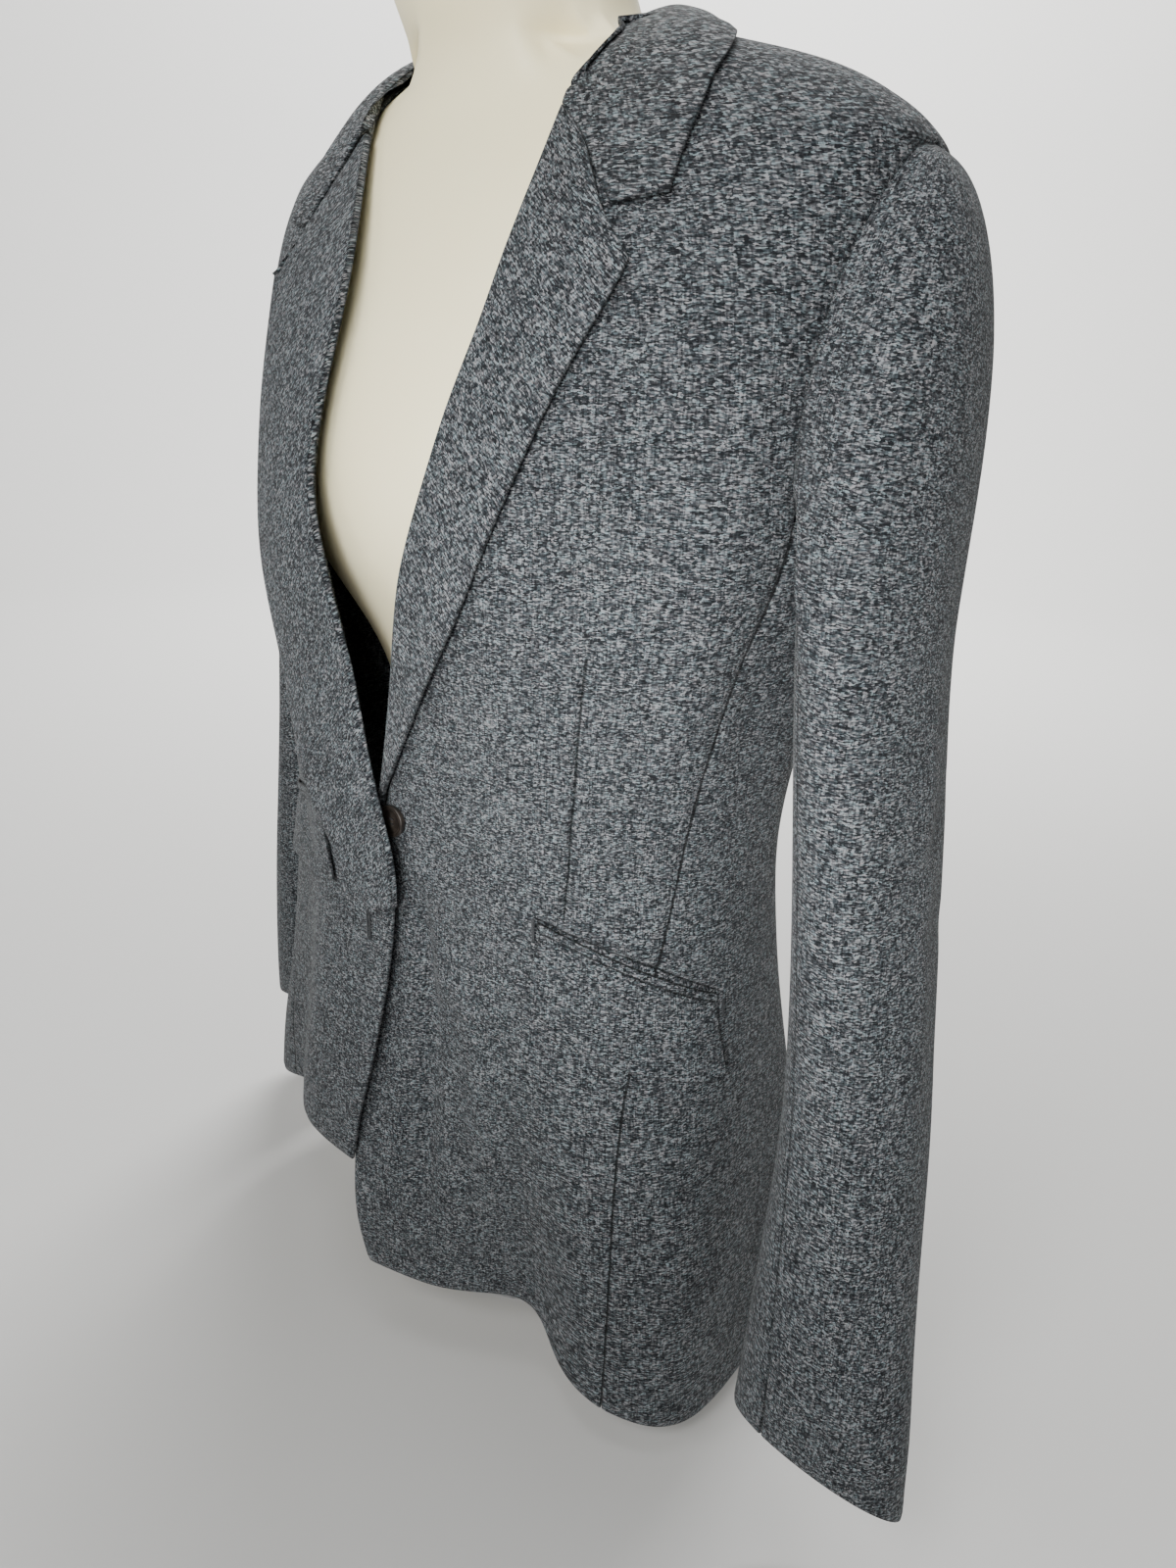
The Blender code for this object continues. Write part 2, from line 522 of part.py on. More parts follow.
def pocket_flap(side):
    pocket = LEFT_POCKET if side == "left" else RIGHT_POCKET
    along = np.linspace(0, 1, 9)[None, :]
    height = np.linspace(1, 0, 4)[:, None]
    depth = pocket.depth + (pocket.back_depth - pocket.depth) * along
    near_end = np.minimum(along, 1 - along)
    corner = FLAP_CORNER * (1 - ease(near_end / FLAP_CORNER_LENGTH))
    below = JET_DEPTH + SEAM_GAP + (depth * (1 - corner) - JET_DEPTH) * height
    spread = along + (along - FLAP_MIDDLE) * FLAP_SPREAD * height
    out = CLOTH + SEAM_GAP + FLAP_LIFT * height**2
    return pocket_point(side, spread, below, out)


def pocket_jet(side):
    along = np.linspace(-0.01, 1.01, 8)[None, :]
    below = np.array([JET_DEPTH, 0.0])[:, None]
    return pocket_point(side, along, below, CLOTH + SEAM_GAP)


# ---- Sleeves -------------------------------------------------------------------------------
def clear_of_body(side, point, drop):
    """Moves a sleeve's point out to stay clear of the body beside it."""
    half_width, front, back, square = ring_sizes(side, drop)
    depth = np.where(point[..., 1] < 0, front, back) + SLEEVE_CLEARANCE
    reach = np.clip(np.abs(point[..., 1]) / depth, 0.0, 1.0)
    limit = (half_width + SLEEVE_CLEARANCE) * (1 - reach**square) ** (1 / square)
    moved = point.copy()
    moved[..., 0] = np.maximum(point[..., 0], limit)
    return moved


def armhole_edge(side, angle):
    """The sleeve's first ring, on the armhole. Angle 0 is the shoulder and 90 the front."""
    cosine, sine = np.cos(np.radians(angle)), np.sin(np.radians(angle))
    rise = np.sign(cosine) * np.abs(cosine) ** (2 / ARMHOLE_SQUARE)
    aside = np.sign(sine) * np.abs(sine) ** (2 / ARMHOLE_SQUARE)
    drop = ARMHOLE_DROP - (ARMHOLE_HALF_HEIGHT - 0.0004) * rise
    turn = 90.0 - (ARMHOLE_HALF_TURN - 0.15) * aside
    edge = body(side, turn, drop, 0.0012)
    edge[..., 0] *= sign_of(side)
    return edge


def sleeve_section(side, angle, drop):
    """A level section of the tube. Angle 0 is the outer side and 90 the front."""
    table = LEFT_SLEEVE if side == "left" else RIGHT_SLEEVE
    middle_x, middle_y, half_x, half_y = np.moveaxis(follow(table, drop), -1, 0)
    x = middle_x + half_x * np.cos(np.radians(angle))
    y = middle_y - half_y * np.sin(np.radians(angle))
    slant = CUFF_SLANT * np.cos(np.radians(angle)) - CUFF_RISE * np.sin(np.radians(angle))
    slant = slant * ease((drop - 0.5) / 0.19)
    point = np.stack([x, y, NECK_HEIGHT - drop - slant], -1)
    return clear_of_body(side, point, drop)


def sleeve_tube(side, angle):
    """Rows of the whole sleeve from the armhole to the cuff, at the angles given."""
    edge = armhole_edge(side, angle)
    biceps = sleeve_section(side, angle, np.full_like(angle, SLEEVE_CAP_DROP))
    rows = [edge]
    for share in (0.07, 0.20, 0.38, 0.58, 0.79):
        aside = 1 - (1 - share) ** HEAD_FULLNESS
        down = share**HEAD_FALL
        mix = np.array([aside, aside, down])
        row = edge + (biceps - edge) * mix
        drop = NECK_HEIGHT - row[..., 2]
        low = ease((drop - 0.150) / 0.080)[:, None]
        rows.append(row * (1 - low) + clear_of_body(side, row, drop) * low)
    for drop in np.linspace(SLEEVE_CAP_DROP, CUFF_DROP, 13):
        rows.append(sleeve_section(side, angle, np.full_like(angle, drop)))
    return np.stack(rows)


def sleeve_part(side, which):
    gap = SLEEVE_SEAM_GAP
    if which == "upper":
        angle = np.linspace(-SLEEVE_SEAM_ANGLE + gap, SLEEVE_SEAM_ANGLE - gap, 14)
    else:
        angle = np.linspace(SLEEVE_SEAM_ANGLE + gap, 360 - SLEEVE_SEAM_ANGLE - gap, 8)
    grid = sleeve_tube(side, angle)
    grid[..., 0] *= sign_of(side)
    return grid


# ---- Making the objects --------------------------------------------------------------------
def material(name, colour, roughness, metallic=0.0):
    made = bpy.data.materials.new(name)
    made.use_nodes = True
    shader = made.node_tree.nodes["Principled BSDF"]
    shader.inputs["Base Color"].default_value = colour
    shader.inputs["Roughness"].default_value = roughness
    shader.inputs["Metallic"].default_value = metallic
    made.diffuse_color = colour
    return made


def add_mesh(name, points, faces, finish):
    mesh = bpy.data.meshes.new(name)
    mesh.from_pydata([tuple(p) for p in points], [], faces)
    mesh.materials.append(finish)
    mesh.shade_smooth()
    made = bpy.data.objects.new(name, mesh)
    BLAZER.objects.link(made)
    return made


def cloth(name, grid, finish, thickness=CLOTH, flip=False):
    """A sheet through a grid of points, thickened inwards."""
    rows, columns = grid.shape[:2]
    faces = []
    for row in range(rows - 1):
        for column in range(columns - 1):
            corner = row * columns + column
            face = (corner, corner + 1, corner + columns + 1, corner + columns)
            faces.append(face[::-1] if flip else face)
    made = add_mesh(name, grid.reshape(-1, 3), faces, finish)
    wall = made.modifiers.new("wall", "SOLIDIFY")
    wall.thickness = thickness
    wall.offset = -1.0
    wall.use_quality_normals = True
    return made


def lathe(name, profile, centre, finish, sides=28):
    """A turned piece from a profile of radius and height."""
    mesh = bpy.data.meshes.new(name)
    points = [(radius, 0.0, height) for radius, height in profile]
    edges = [(i, i + 1) for i in range(len(points) - 1)]
    mesh.from_pydata(points, edges, [])
    mesh.materials.append(finish)
    made = bpy.data.objects.new(name, mesh)
    BLAZER.objects.link(made)
    made.location = centre
    turn = made.modifiers.new("turn", "SCREW")
    turn.steps = sides
    turn.render_steps = sides
    turn.use_merge_vertices = True
    turn.merge_threshold = 0.00005
    return made


def under_the_cloth(ring, drop):
    """Keeps a ring of the form clear of the cloth, but free where the coat stands open."""
    if drop < 0.002:
        return ring
    on_left = ring[:, 0] > 0
    levels = [np.stack([ring_sizes(side, at)[i] for i in range(4)]) for at in
              (drop, max(drop - FORM_CLEARANCE, 0.0)) for side in ("left", "right")]
    half_width = np.where(on_left, min(levels[0][0] - FORM_CLEARANCE, levels[2][0]),
                          min(levels[1][0] - FORM_CLEARANCE, levels[3][0]))
    depth = np.where(ring[:, 1] < 0, min(levels[0][1] - FORM_CLEARANCE, levels[2][1]),
                     min(levels[0][2] - FORM_CLEARANCE, levels[2][2]))
    square = levels[0][3]
    value = (np.abs(ring[:, 0]) / half_width) ** square + (np.abs(ring[:, 1]) / depth) ** square
    shrink = np.where(value > 1, value ** (-1 / square), 1.0)
    closed = np.where(ring[:, 1] < 0, ease((np.abs(ring[:, 0]) - 0.036) / 0.012), 1.0)
    shrink = 1 - (1 - shrink) * closed
    moved = ring.copy()
    moved[:, :2] *= shrink[:, None]
    return moved


def torso_form(finish):
    """Rings of the form, closed by a flat top at the neck and a flat bottom at the hips."""
    sides = 32
    turn = (np.arange(sides) * 360.0 / sides + 180.0) % 360.0 - 180.0
    drops = np.concatenate([
        np.linspace(-0.100, 0.000, 6), np.linspace(0.010, 0.110, 9),
        np.linspace(0.150, FORM_BOTTOM, 11),
    ])
    points = []
    for drop in drops:
        left, right, front, back, middle_y, square = follow(FORM_RINGS, drop)
        x, y = oval(turn, np.where(turn < 0, right, left), front, back, square)
        ring = np.stack([x, y + middle_y, np.full(sides, NECK_HEIGHT - drop)], -1)
        points.append(under_the_cloth(ring, drop))
    faces = []
    for row in range(len(drops) - 1):
        for column in range(sides):
            beside = (column + 1) % sides
            low, high = (row + 1) * sides, row * sides
            faces.append((low + column, low + beside, high + beside, high + column))
    last = (len(drops) - 1) * sides
    faces.append(tuple(range(sides)))
    faces.append(tuple(last + column for column in reversed(range(sides))))
    return add_mesh("form_torso", np.concatenate(points), faces, finish)


def button(finish):
    """A round button, flat against the left front."""
    seat = body("left", BUTTON_TURN, BUTTON_DROP, SEAM_GAP)
    above = body("left", BUTTON_TURN, BUTTON_DROP, 0.010)
    out = (above - seat) / np.linalg.norm(above - seat)
    bpy.ops.mesh.primitive_cylinder_add(
        vertices=20, radius=BUTTON_RADIUS, depth=BUTTON_THICKNESS,
        location=tuple(seat + out * (BUTTON_THICKNESS / 2 + BUTTON_STAND - SEAM_GAP)),
        rotation=(np.pi / 2 + np.arcsin(out[2]), 0, np.arctan2(out[0], -out[1])),
    )
    made = bpy.context.object
    made.name = "button"
    made.data.materials.append(finish)
    for owner in made.users_collection:
        owner.objects.unlink(made)
    BLAZER.objects.link(made)
    return made


# ---- Build ---------------------------------------------------------------------------------
for leftover in list(bpy.data.objects):
    bpy.data.objects.remove(leftover)
BLAZER = bpy.data.collections.new("single_breasted_blazer")
bpy.context.scene.collection.children.link(BLAZER)

grey_cloth = material("grey_cloth", GREY, 0.9)
black_lining = material("black_lining", BLACK, 0.5)
dark_horn = material("dark_horn", HORN, 0.35)
cream_plastic = material("cream_plastic", CREAM, 0.45)
steel = material("steel", STEEL, 0.35, 1.0)

for side in ("left", "right"):
    mirrored = side == "right"
    cloth("front_" + side, front_panel(side), grey_cloth, flip=mirrored)
    cloth("side_" + side, side_panel(side), grey_cloth, flip=mirrored)
    cloth("back_" + side, back_panel(side), grey_cloth, flip=mirrored)
    cloth("lining_" + side, lining_panel(side), black_lining, LINING, flip=mirrored)
    cloth("lapel_" + side, lapel(side), grey_cloth, FACING_CLOTH, flip=mirrored)
    cloth("pocket_flap_" + side, pocket_flap(side), grey_cloth, FACING_CLOTH, flip=mirrored)
    cloth("pocket_jet_" + side, pocket_jet(side), grey_cloth, JET_CLOTH, flip=mirrored)
    for which in ("upper", "under"):
        name = "sleeve_" + which + "_" + side
        cloth(name, sleeve_part(side, which), grey_cloth, flip=mirrored)

whole = np.concatenate([collar_half("left"), collar_half("right")[-2::-1]])
cloth("collar", whole, grey_cloth, COLLAR_CLOTH)

torso_form(cream_plastic)
pole_top = NECK_HEIGHT - FORM_BOTTOM - SEAM_GAP
base_profile = [
    (0.0, BASE_THICKNESS), (BASE_RADIUS - BASE_EDGE, BASE_THICKNESS),
    (BASE_RADIUS, BASE_THICKNESS - BASE_EDGE), (BASE_RADIUS, 0.0), (0.0, 0.0),
]
pole_foot = BASE_THICKNESS + SEAM_GAP
pole_profile = [(0.0, pole_top), (POLE_RADIUS, pole_top), (POLE_RADIUS, pole_foot), (0.0, pole_foot)]
lathe("form_base", base_profile, (0, STAND_Y, 0), steel, 40)
lathe("form_pole", pole_profile, (0, STAND_Y, 0), steel, 20)
button(dark_horn)
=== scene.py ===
"""Looks of a single breasted blazer on a limbless torso form. Metres, +Z up.

The front of the blazer faces -Y and the wearer's left is +X.
"""

import math

import bmesh
import bpy
import numpy as np
from mathutils import Matrix, Vector
from mathutils.kdtree import KDTree


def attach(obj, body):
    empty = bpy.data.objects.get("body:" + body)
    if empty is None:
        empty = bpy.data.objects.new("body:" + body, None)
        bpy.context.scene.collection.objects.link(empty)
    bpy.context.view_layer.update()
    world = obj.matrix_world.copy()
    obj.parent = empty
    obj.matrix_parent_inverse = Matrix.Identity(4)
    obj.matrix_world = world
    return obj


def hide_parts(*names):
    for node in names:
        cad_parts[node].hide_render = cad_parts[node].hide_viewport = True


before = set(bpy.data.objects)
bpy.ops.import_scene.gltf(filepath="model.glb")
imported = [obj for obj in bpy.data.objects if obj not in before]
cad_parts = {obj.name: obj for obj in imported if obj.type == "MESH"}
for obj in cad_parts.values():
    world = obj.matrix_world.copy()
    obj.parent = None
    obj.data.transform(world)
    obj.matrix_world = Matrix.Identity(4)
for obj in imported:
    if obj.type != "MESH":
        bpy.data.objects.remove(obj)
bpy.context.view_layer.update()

# ---- The view ------------------------------------------------------------------------------
# A camera a little above the chest, in front of the wearer's left, looking down at the coat.
# Its frame is 1200 by 1600.
neck_height = 0.755
camera = bpy.data.objects.new("camera", bpy.data.cameras.new("camera"))
bpy.context.scene.collection.objects.link(camera)
camera_turn = math.radians(36.13)
camera_tilt = math.radians(90 - 22.15)
camera_roll = math.radians(2.08)
camera_place = (0.3829, -0.4669, neck_height - 0.1478)
aim = (
    Matrix.Rotation(camera_turn, 4, "Z")
    @ Matrix.Rotation(camera_tilt, 4, "X")
    @ Matrix.Rotation(camera_roll, 4, "Z")
)
camera.matrix_world = Matrix.Translation(camera_place) @ aim
camera.data.sensor_fit = "VERTICAL"
camera.data.sensor_height = 36.0
camera.data.lens = 23.23
camera.data.clip_start = 0.05
bpy.context.scene.camera = camera


# ---- Light and floor -----------------------------------------------------------------------
# A soft key light high in front, weaker ones at chest and waist height and from the wearer's
# right, one above, and two behind for the rims. The last one lights the wall of a pale round
# room, whose floor runs up into it.
def soft_light(name, place, target, size, power, spread=180):
    """A round lamp of its own size and watts. A spread under 180 degrees narrows its beam."""
    lamp = bpy.data.lights.new(name, "AREA")
    lamp.shape = "DISK"
    lamp.size = size
    lamp.energy = power
    lamp.spread = math.radians(spread)
    made = bpy.data.objects.new(name, lamp)
    bpy.context.scene.collection.objects.link(made)
    made.location = place
    towards = Vector(target) - Vector(place)
    made.rotation_euler = towards.to_track_quat("-Z", "Y").to_euler()


soft_light("key_light", (0.20, -0.95, 1.20), (0.06, 0.0, 0.52), 0.40, 8.0)
soft_light("front_light", (0.50, -0.84, 0.70), (0.10, 0.0, 0.44), 0.34, 5.6)
soft_light("waist_light", (0.40, -0.84, 0.50), (0.13, -0.03, 0.44), 0.24, 0.5, 40)
soft_light("cross_light", (-0.34, -0.84, 0.66), (0.05, 0.0, 0.42), 0.20, 1.1)
soft_light("top_light", (-0.1, -0.3, 1.9), (0.05, 0.0, 0.6), 0.5, 4.5)
soft_light("rim_light", (1.6, 0.35, 1.05), (0.22, 0.0, 0.45), 0.7, 3.0)
soft_light("back_light", (-0.9, 1.9, 1.5), (0.0, 0.0, 0.5), 1.2, 4.0)
soft_light("wall_light", (-0.6, 1.4, 3.0), (-2.6, 3.4, 0.5), 1.5, 420)

room = bpy.data.worlds.new("room")
bpy.context.scene.world = room
room.use_nodes = True
daylight = room.node_tree.nodes["Background"]
daylight.inputs["Color"].default_value = (0.97, 0.965, 0.95, 1)
daylight.inputs["Strength"].default_value = 0.053

room_radius = 4.2
room_curve = 1.5
room_height = 4.0
room_steps = 64
profile = [(0.0, 0.0)]
for degrees in range(0, 91, 6):
    swing = math.radians(degrees)
    out = room_radius - room_curve * (1 - math.sin(swing))
    profile.append((out, room_curve * (1 - math.cos(swing))))
profile.append((room_radius, room_height))
profile_lines = [(index, index + 1) for index in range(len(profile) - 1)]
bpy.ops.object.select_all(action="DESELECT")
bpy.ops.mesh.primitive_plane_add()
floor = bpy.context.object
floor.name = "floor"
floor.data.clear_geometry()
floor.data.from_pydata([(out, 0, height) for out, height in profile], profile_lines, [])
turned = floor.modifiers.new("turned", "SCREW")
turned.steps = room_steps
turned.render_steps = room_steps
turned.use_merge_vertices = True
bpy.ops.object.modifier_apply(modifier="turned")
bpy.ops.object.shade_smooth()
pale_floor = bpy.data.materials.new("pale_floor")
pale_floor.use_nodes = True
floor_shader = pale_floor.node_tree.nodes["Principled BSDF"]
floor_shader.inputs["Base Color"].default_value = (0.50, 0.497, 0.485, 1)
floor_shader.inputs["Roughness"].default_value = 0.9
floor.data.materials.append(pale_floor)


# ---- The grey cloth ------------------------------------------------------------------------
# A soft wool blend of mixed yarns: each weft float is its own shade, near black, mid grey or
# light grey, some a little blue or green. The floats lie across the piece they are cut for.
class Wire:
    """A value in a material. Arithmetic adds Math nodes, and node() adds any other node, with
    its settings, and a number, some numbers or another Wire for each socket named."""

    def __init__(self, tree, socket=None):
        self.tree = tree
        self.socket = socket

    def node(self, kind, settings, sockets, output=0):
        made = self.tree.nodes.new(kind)
        for name, value in settings.items():
            setattr(made, name, value)
        for name, value in sockets.items():
            if isinstance(value, Wire):
                self.tree.links.new(value.socket, made.inputs[name])
            else:
                made.inputs[name].default_value = value
        return Wire(self.tree, made.outputs[output])

    def into(self, socket):
        self.tree.links.new(self.socket, socket)

    def noise(self, scale, detail=2.0, output="Fac"):
        """Soft noise over this place."""
        sockets = {"Vector": self, "Scale": scale, "Detail": detail}
        return self.node("ShaderNodeTexNoise", {}, sockets, output)

    def counted_in(self, cell):
        """This place, counted in cells of a size in metres."""
        return self.node("ShaderNodeMapping", {}, {"Vector": self, "Scale": [1 / size for size in cell]})

    def ramp(self, *stops):
        """The shade at this value, between stops that are each a value and a shade."""
        made = self.tree.nodes.new("ShaderNodeValToRGB")
        marks = made.color_ramp.elements
        while len(marks) < len(stops):
            marks.new(1.0)
        for mark, (value, shade) in zip(marks, stops):
            mark.position = value
            mark.color = (*shade, 1.0)
        self.into(made.inputs["Fac"])
        return Wire(self.tree, made.outputs["Color"])

    def smooth_step(self, start, end):
        """Goes softly from 0 at the start to 1 at the end."""
        sockets = {"Value": self, "From Min": start, "From Max": end, "To Min": 0.0, "To Max": 1.0}
        return self.node("ShaderNodeMapRange", {"interpolation_type": "SMOOTHSTEP"}, sockets, "Result")

    def math(self, operation, first, second):
        return self.node("ShaderNodeMath", {"operation": operation}, {0: first, 1: second})

    def __add__(self, other):
        return self.math("ADD", self, other)

    def __mul__(self, other):
        return self.math("MULTIPLY", self, other)

    def __sub__(self, other):
        return self.math("SUBTRACT", self, other)

    def __rsub__(self, other):
        return self.math("SUBTRACT", other, self)


def new_material(name):
    """A plain Principled material, its shader, and a Wire with no value to build on."""
    made = bpy.data.materials.new(name)
    made.use_nodes = True
    shader = made.node_tree.nodes["Principled BSDF"]
    return made, shader, Wire(made.node_tree)


def add_relief(shader, height, strength, distance, invert=False):
    """Shades a surface as if it rose and fell with a height."""
    sockets = {"Strength": strength, "Distance": distance, "Height": height}
    height.node("ShaderNodeBump", {"invert": invert}, sockets).into(shader.inputs["Normal"])


# Each cell of the weave has a width, a length and a depth.
weft_float = (0.0012, 0.00056, 0.004)
warp_slub = (0.0007, 0.0060, 0.004)
weft_streak = (0.0070, 0.0007, 0.004)
thread_wander = (0.0010, 0.0009, 0.0)
# The painted shade beside a sewn line darkens from one distance to another, in millimetres, and the
# painted shade at a rim from one closeness to another.
furrow_outside = 0.95
furrow_inside = 0.25
furrow_painted_shade = 0.74
rim_outside = 0.78
rim_inside = 0.96
rim_painted_shade = 0.45


def melange(name, shade):
    """Mixed yarn cloth. The vector attribute weave holds across, along and through, and the
    attribute seam holds millimetres across the nearest sewn line, 1 beside it, and 1 at a rim."""
    made, shader, tree = new_material(name)
    place = tree.node("ShaderNodeAttribute", {"attribute_name": "weave"}, {}, "Vector")
    wander = place.noise(330.0, 1.0, "Color")
    bent = tree.node("ShaderNodeVectorMath", {"operation": "MULTIPLY_ADD"},
                     {0: wander, 1: thread_wander, 2: place})
    yarns = bent.counted_in(weft_float)
    cells = {"Vector": yarns, "Scale": 1.0, "Randomness": 0.9}
    floats = tree.node("ShaderNodeTexVoronoi", {}, cells, "Color")
    depth = tree.node("ShaderNodeTexVoronoi", {}, cells, "Distance")
    pick = tree.node("ShaderNodeSeparateColor", {}, {"Color": floats}, "Red")
    tint_pick = tree.node("ShaderNodeSeparateColor", {}, {"Color": floats}, "Green")
    # The warp shows between the floats as thin upright slubs.
    slubs = bent.counted_in(warp_slub).noise(1.0)
    streaks = bent.counted_in(weft_streak).noise(1.0)
    fuzz = yarns.noise(1.7)
    cloudy = place.noise(60.0, 3.0)
    tone = pick * 0.95 + fuzz * 0.42 + slubs * 1.00 + streaks * 0.80 + cloudy * 0.12 - 1.15
    greys = tone.ramp(
        (0.10, (0.012, 0.0131, 0.016)), (0.36, (0.046, 0.0506, 0.0575)), (0.58, (0.105, 0.1125, 0.122)),
        (0.78, (0.215, 0.2255, 0.238)), (0.96, (0.40, 0.416, 0.432)),
    )
    tints = tint_pick.ramp(
        (0.0, (0.84, 1.03, 1.06)), (0.22, (0.90, 1.02, 1.03)), (0.42, (0.98, 1.0, 1.01)),
        (0.72, (1.02, 1.0, 0.99)), (1.0, (1.08, 0.99, 0.98)),
    )
    colour = tree.node("ShaderNodeMix", {"data_type": "RGBA", "blend_type": "MULTIPLY"},
                       {"Factor": 1.0, "A": greys, "B": tints}, "Result")
    # Beside a sewn line, and at the pressed rim of each piece, a thin painted shade darkens the colour, as
    # a furrow's shadow would.
    seam = tree.node("ShaderNodeAttribute", {"attribute_name": "seam"}, {}, "Vector")
    across, beside, at_rim = (
        tree.node("ShaderNodeSeparateXYZ", {}, {"Vector": seam}, axis) for axis in ("X", "Y", "Z")
    )
    off_line = tree.node("ShaderNodeMath", {"operation": "ABSOLUTE"}, {0: across + fuzz * 0.3 - 0.15})
    furrow_shade = off_line.smooth_step(furrow_outside, furrow_inside)
    rim = at_rim.smooth_step(rim_outside, rim_inside)
    lit = (1 - furrow_shade * beside * furrow_painted_shade) * (1 - rim * rim_painted_shade) * shade
    shaded = tree.node("ShaderNodeVectorMath", {"operation": "SCALE"}, {0: colour, "Scale": lit})
    shaded.into(shader.inputs["Base Color"])
    add_relief(shader, depth + fuzz * 0.4 + slubs * 0.4, 0.5, 0.0005, invert=True)
    shader.inputs["Roughness"].default_value = 0.92
    shader.inputs["Specular IOR Level"].default_value = 0.18
    shader.inputs["Sheen Weight"].default_value = 0.05
    shader.inputs["Sheen Roughness"].default_value = 0.45
    return made


grey_cloth = melange("grey_melange", 0.54)


# ---- Cloth shells --------------------------------------------------------------------------
# Each cut piece of the coat is a thin closed shell on its solid's form, with pressed edges,
# soft creases, and a thread direction of its own.
weld_distance = 0.00002
flat_within = math.radians(38)
square_within = math.radians(60)
crisp_angle = math.radians(52)
crispness = 0.93
rim_angle = math.radians(28)
upright_slope = 0.55


def shell(node, name, levels, grow=0.0, tuck=None):
    """A copy of a node's mesh, merged, in four-sided faces, smooth between its sharp edges.

    Its cut edges grow by a hair, so that they meet the next piece's along a seam. The function
    tuck may move those of an edge that goes under another piece further."""
    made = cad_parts[node].copy()
    made.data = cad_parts[node].data.copy()
    made.name = name
    bpy.context.scene.collection.objects.link(made)
    made.parent = None
    made.matrix_world = Matrix.Identity(4)
    made.hide_render = False
    mesh = bmesh.new()
    mesh.from_mesh(made.data)
    bmesh.ops.remove_doubles(mesh, verts=mesh.verts, dist=weld_distance)
    bmesh.ops.join_triangles(
        mesh, faces=mesh.faces, angle_face_threshold=flat_within, angle_shape_threshold=square_within,
    )
    crisp = mesh.edges.layers.float.new("crease_edge")
    sharp = {e for e in mesh.edges if e.is_manifold and e.calc_face_angle() > crisp_angle}
    for edge in sharp:
        edge[crisp] = crispness
    mesh.normal_update()
    moves = {}
    for face in mesh.faces:
        if sum(edge in sharp for edge in face.edges) >= 2:
            for vertex in face.verts:
                moves[vertex] = moves.get(vertex, Vector()) + face.normal
    for vertex, move in moves.items():
        move = move.normalized()
        vertex.co += move * grow
        if tuck:
            vertex.co += tuck(vertex.co, move)
    mesh.to_mesh(made.data)
    mesh.free()
    made.data.materials.clear()
    bpy.ops.object.select_all(action="DESELECT")
    made.select_set(True)
    bpy.context.view_layer.objects.active = made
    smooth = made.modifiers.new("smooth", "SUBSURF")
    smooth.levels = levels
    smooth.render_levels = levels
    smooth.boundary_smooth = "PRESERVE_CORNERS"
    bpy.ops.object.modifier_apply(modifier="smooth")
    bpy.ops.object.shade_smooth()
    return made


def points_of(piece):
    points = np.empty(len(piece.data.vertices) * 3, np.float32)
    piece.data.vertices.foreach_get("co", points)
    return points.reshape(-1, 3).astype(float)


def set_points(piece, points):
    piece.data.vertices.foreach_set("co", points.astype(np.float32).reshape(-1))
    piece.data.update()


def rim_distance(piece, points):
    """How far each point lies from the cut edge of its piece, and whether that edge is upright."""
    mesh = bmesh.new()
    mesh.from_mesh(piece.data)
    rim = [e for e in mesh.edges if e.is_manifold and e.calc_face_angle() > rim_angle]
    tree = KDTree(len(rim) * 3)
    upright = []
    for index, edge in enumerate(rim):
        start, end = edge.verts[0].co, edge.verts[1].co
        for place in (start, (start + end) / 2, end):
            tree.insert(place, index)
        upright.append(abs(end.z - start.z) > upright_slope * edge.calc_length())
    mesh.free()
    tree.balance()
    found = [tree.find(point) for point in points]
    return np.array([hit[2] for hit in found]), np.array([upright[hit[1]] for hit in found])


def off_the_line(at, start, end):
    """Each point's share of the way from start to end, and the step to it from the line."""
    first, run = np.array(start), np.array(end) - np.array(start)
    share = ((at - first) @ run) / (run @ run)
    return share, at - first - np.clip(share, 0.0, 1.0)[:, None] * run


def refine(piece, flatten, lines, reach, rounds):
    """Splits the faces near drawn lines finer, so that a narrow groove has points to lie on."""
    for _ in range(rounds):
        at = flatten(points_of(piece))
        near = np.zeros(len(at), bool)
        for start, end, _, _ in lines:
            near |= np.linalg.norm(off_the_line(at, start, end)[1], axis=1) < reach
        mesh = bmesh.new()
        mesh.from_mesh(piece.data)
        mesh.verts.ensure_lookup_table()
        edges = [e for e in mesh.edges if near[e.verts[0].index] and near[e.verts[1].index]]
        bmesh.ops.subdivide_edges(mesh, edges=edges, cuts=1, use_grid_fill=True)
        mesh.to_mesh(piece.data)
        mesh.free()
    bpy.ops.object.shade_smooth()


def soft(value):
    """Goes from 1 at 0 to 0 at 1 and beyond, with no corner."""
    value = np.clip(value, 0.0, 1.0)
    return 1 - value * value * (3 - 2 * value)


def crease_height(at, creases):
    """Sum of listed creases: at holds arc length round and drop, both in metres."""
    height = np.zeros(len(at))
    for start, end, half_width, depth in creases:
        share, off = off_the_line(at, start, end)
        # It swells from near nothing at one end to its full depth in the middle, and back.
        swell = np.sin(np.pi * (np.clip(share, 0.0, 1.0) * 0.9 + 0.05)) ** 0.7
        height += depth * swell * np.exp(-((np.linalg.norm(off, axis=1) / half_width) ** 2))
    return height


def thread_direction(piece, across, along, through, turn):
    """Stores where each point lies in the uncut cloth, turned to the piece's own grain."""
    cosine, sine = math.cos(math.radians(turn)), math.sin(math.radians(turn))
    weave = piece.data.attributes.new("weave", "FLOAT_VECTOR", "POINT")
    values = np.stack([across * cosine + along * sine, along * cosine - across * sine, through], 1)
    weave.data.foreach_set("vector", values.astype(np.float32).reshape(-1))


beside_reach = 0.004
past_the_end = 0.0006
millimetres = 1000.0


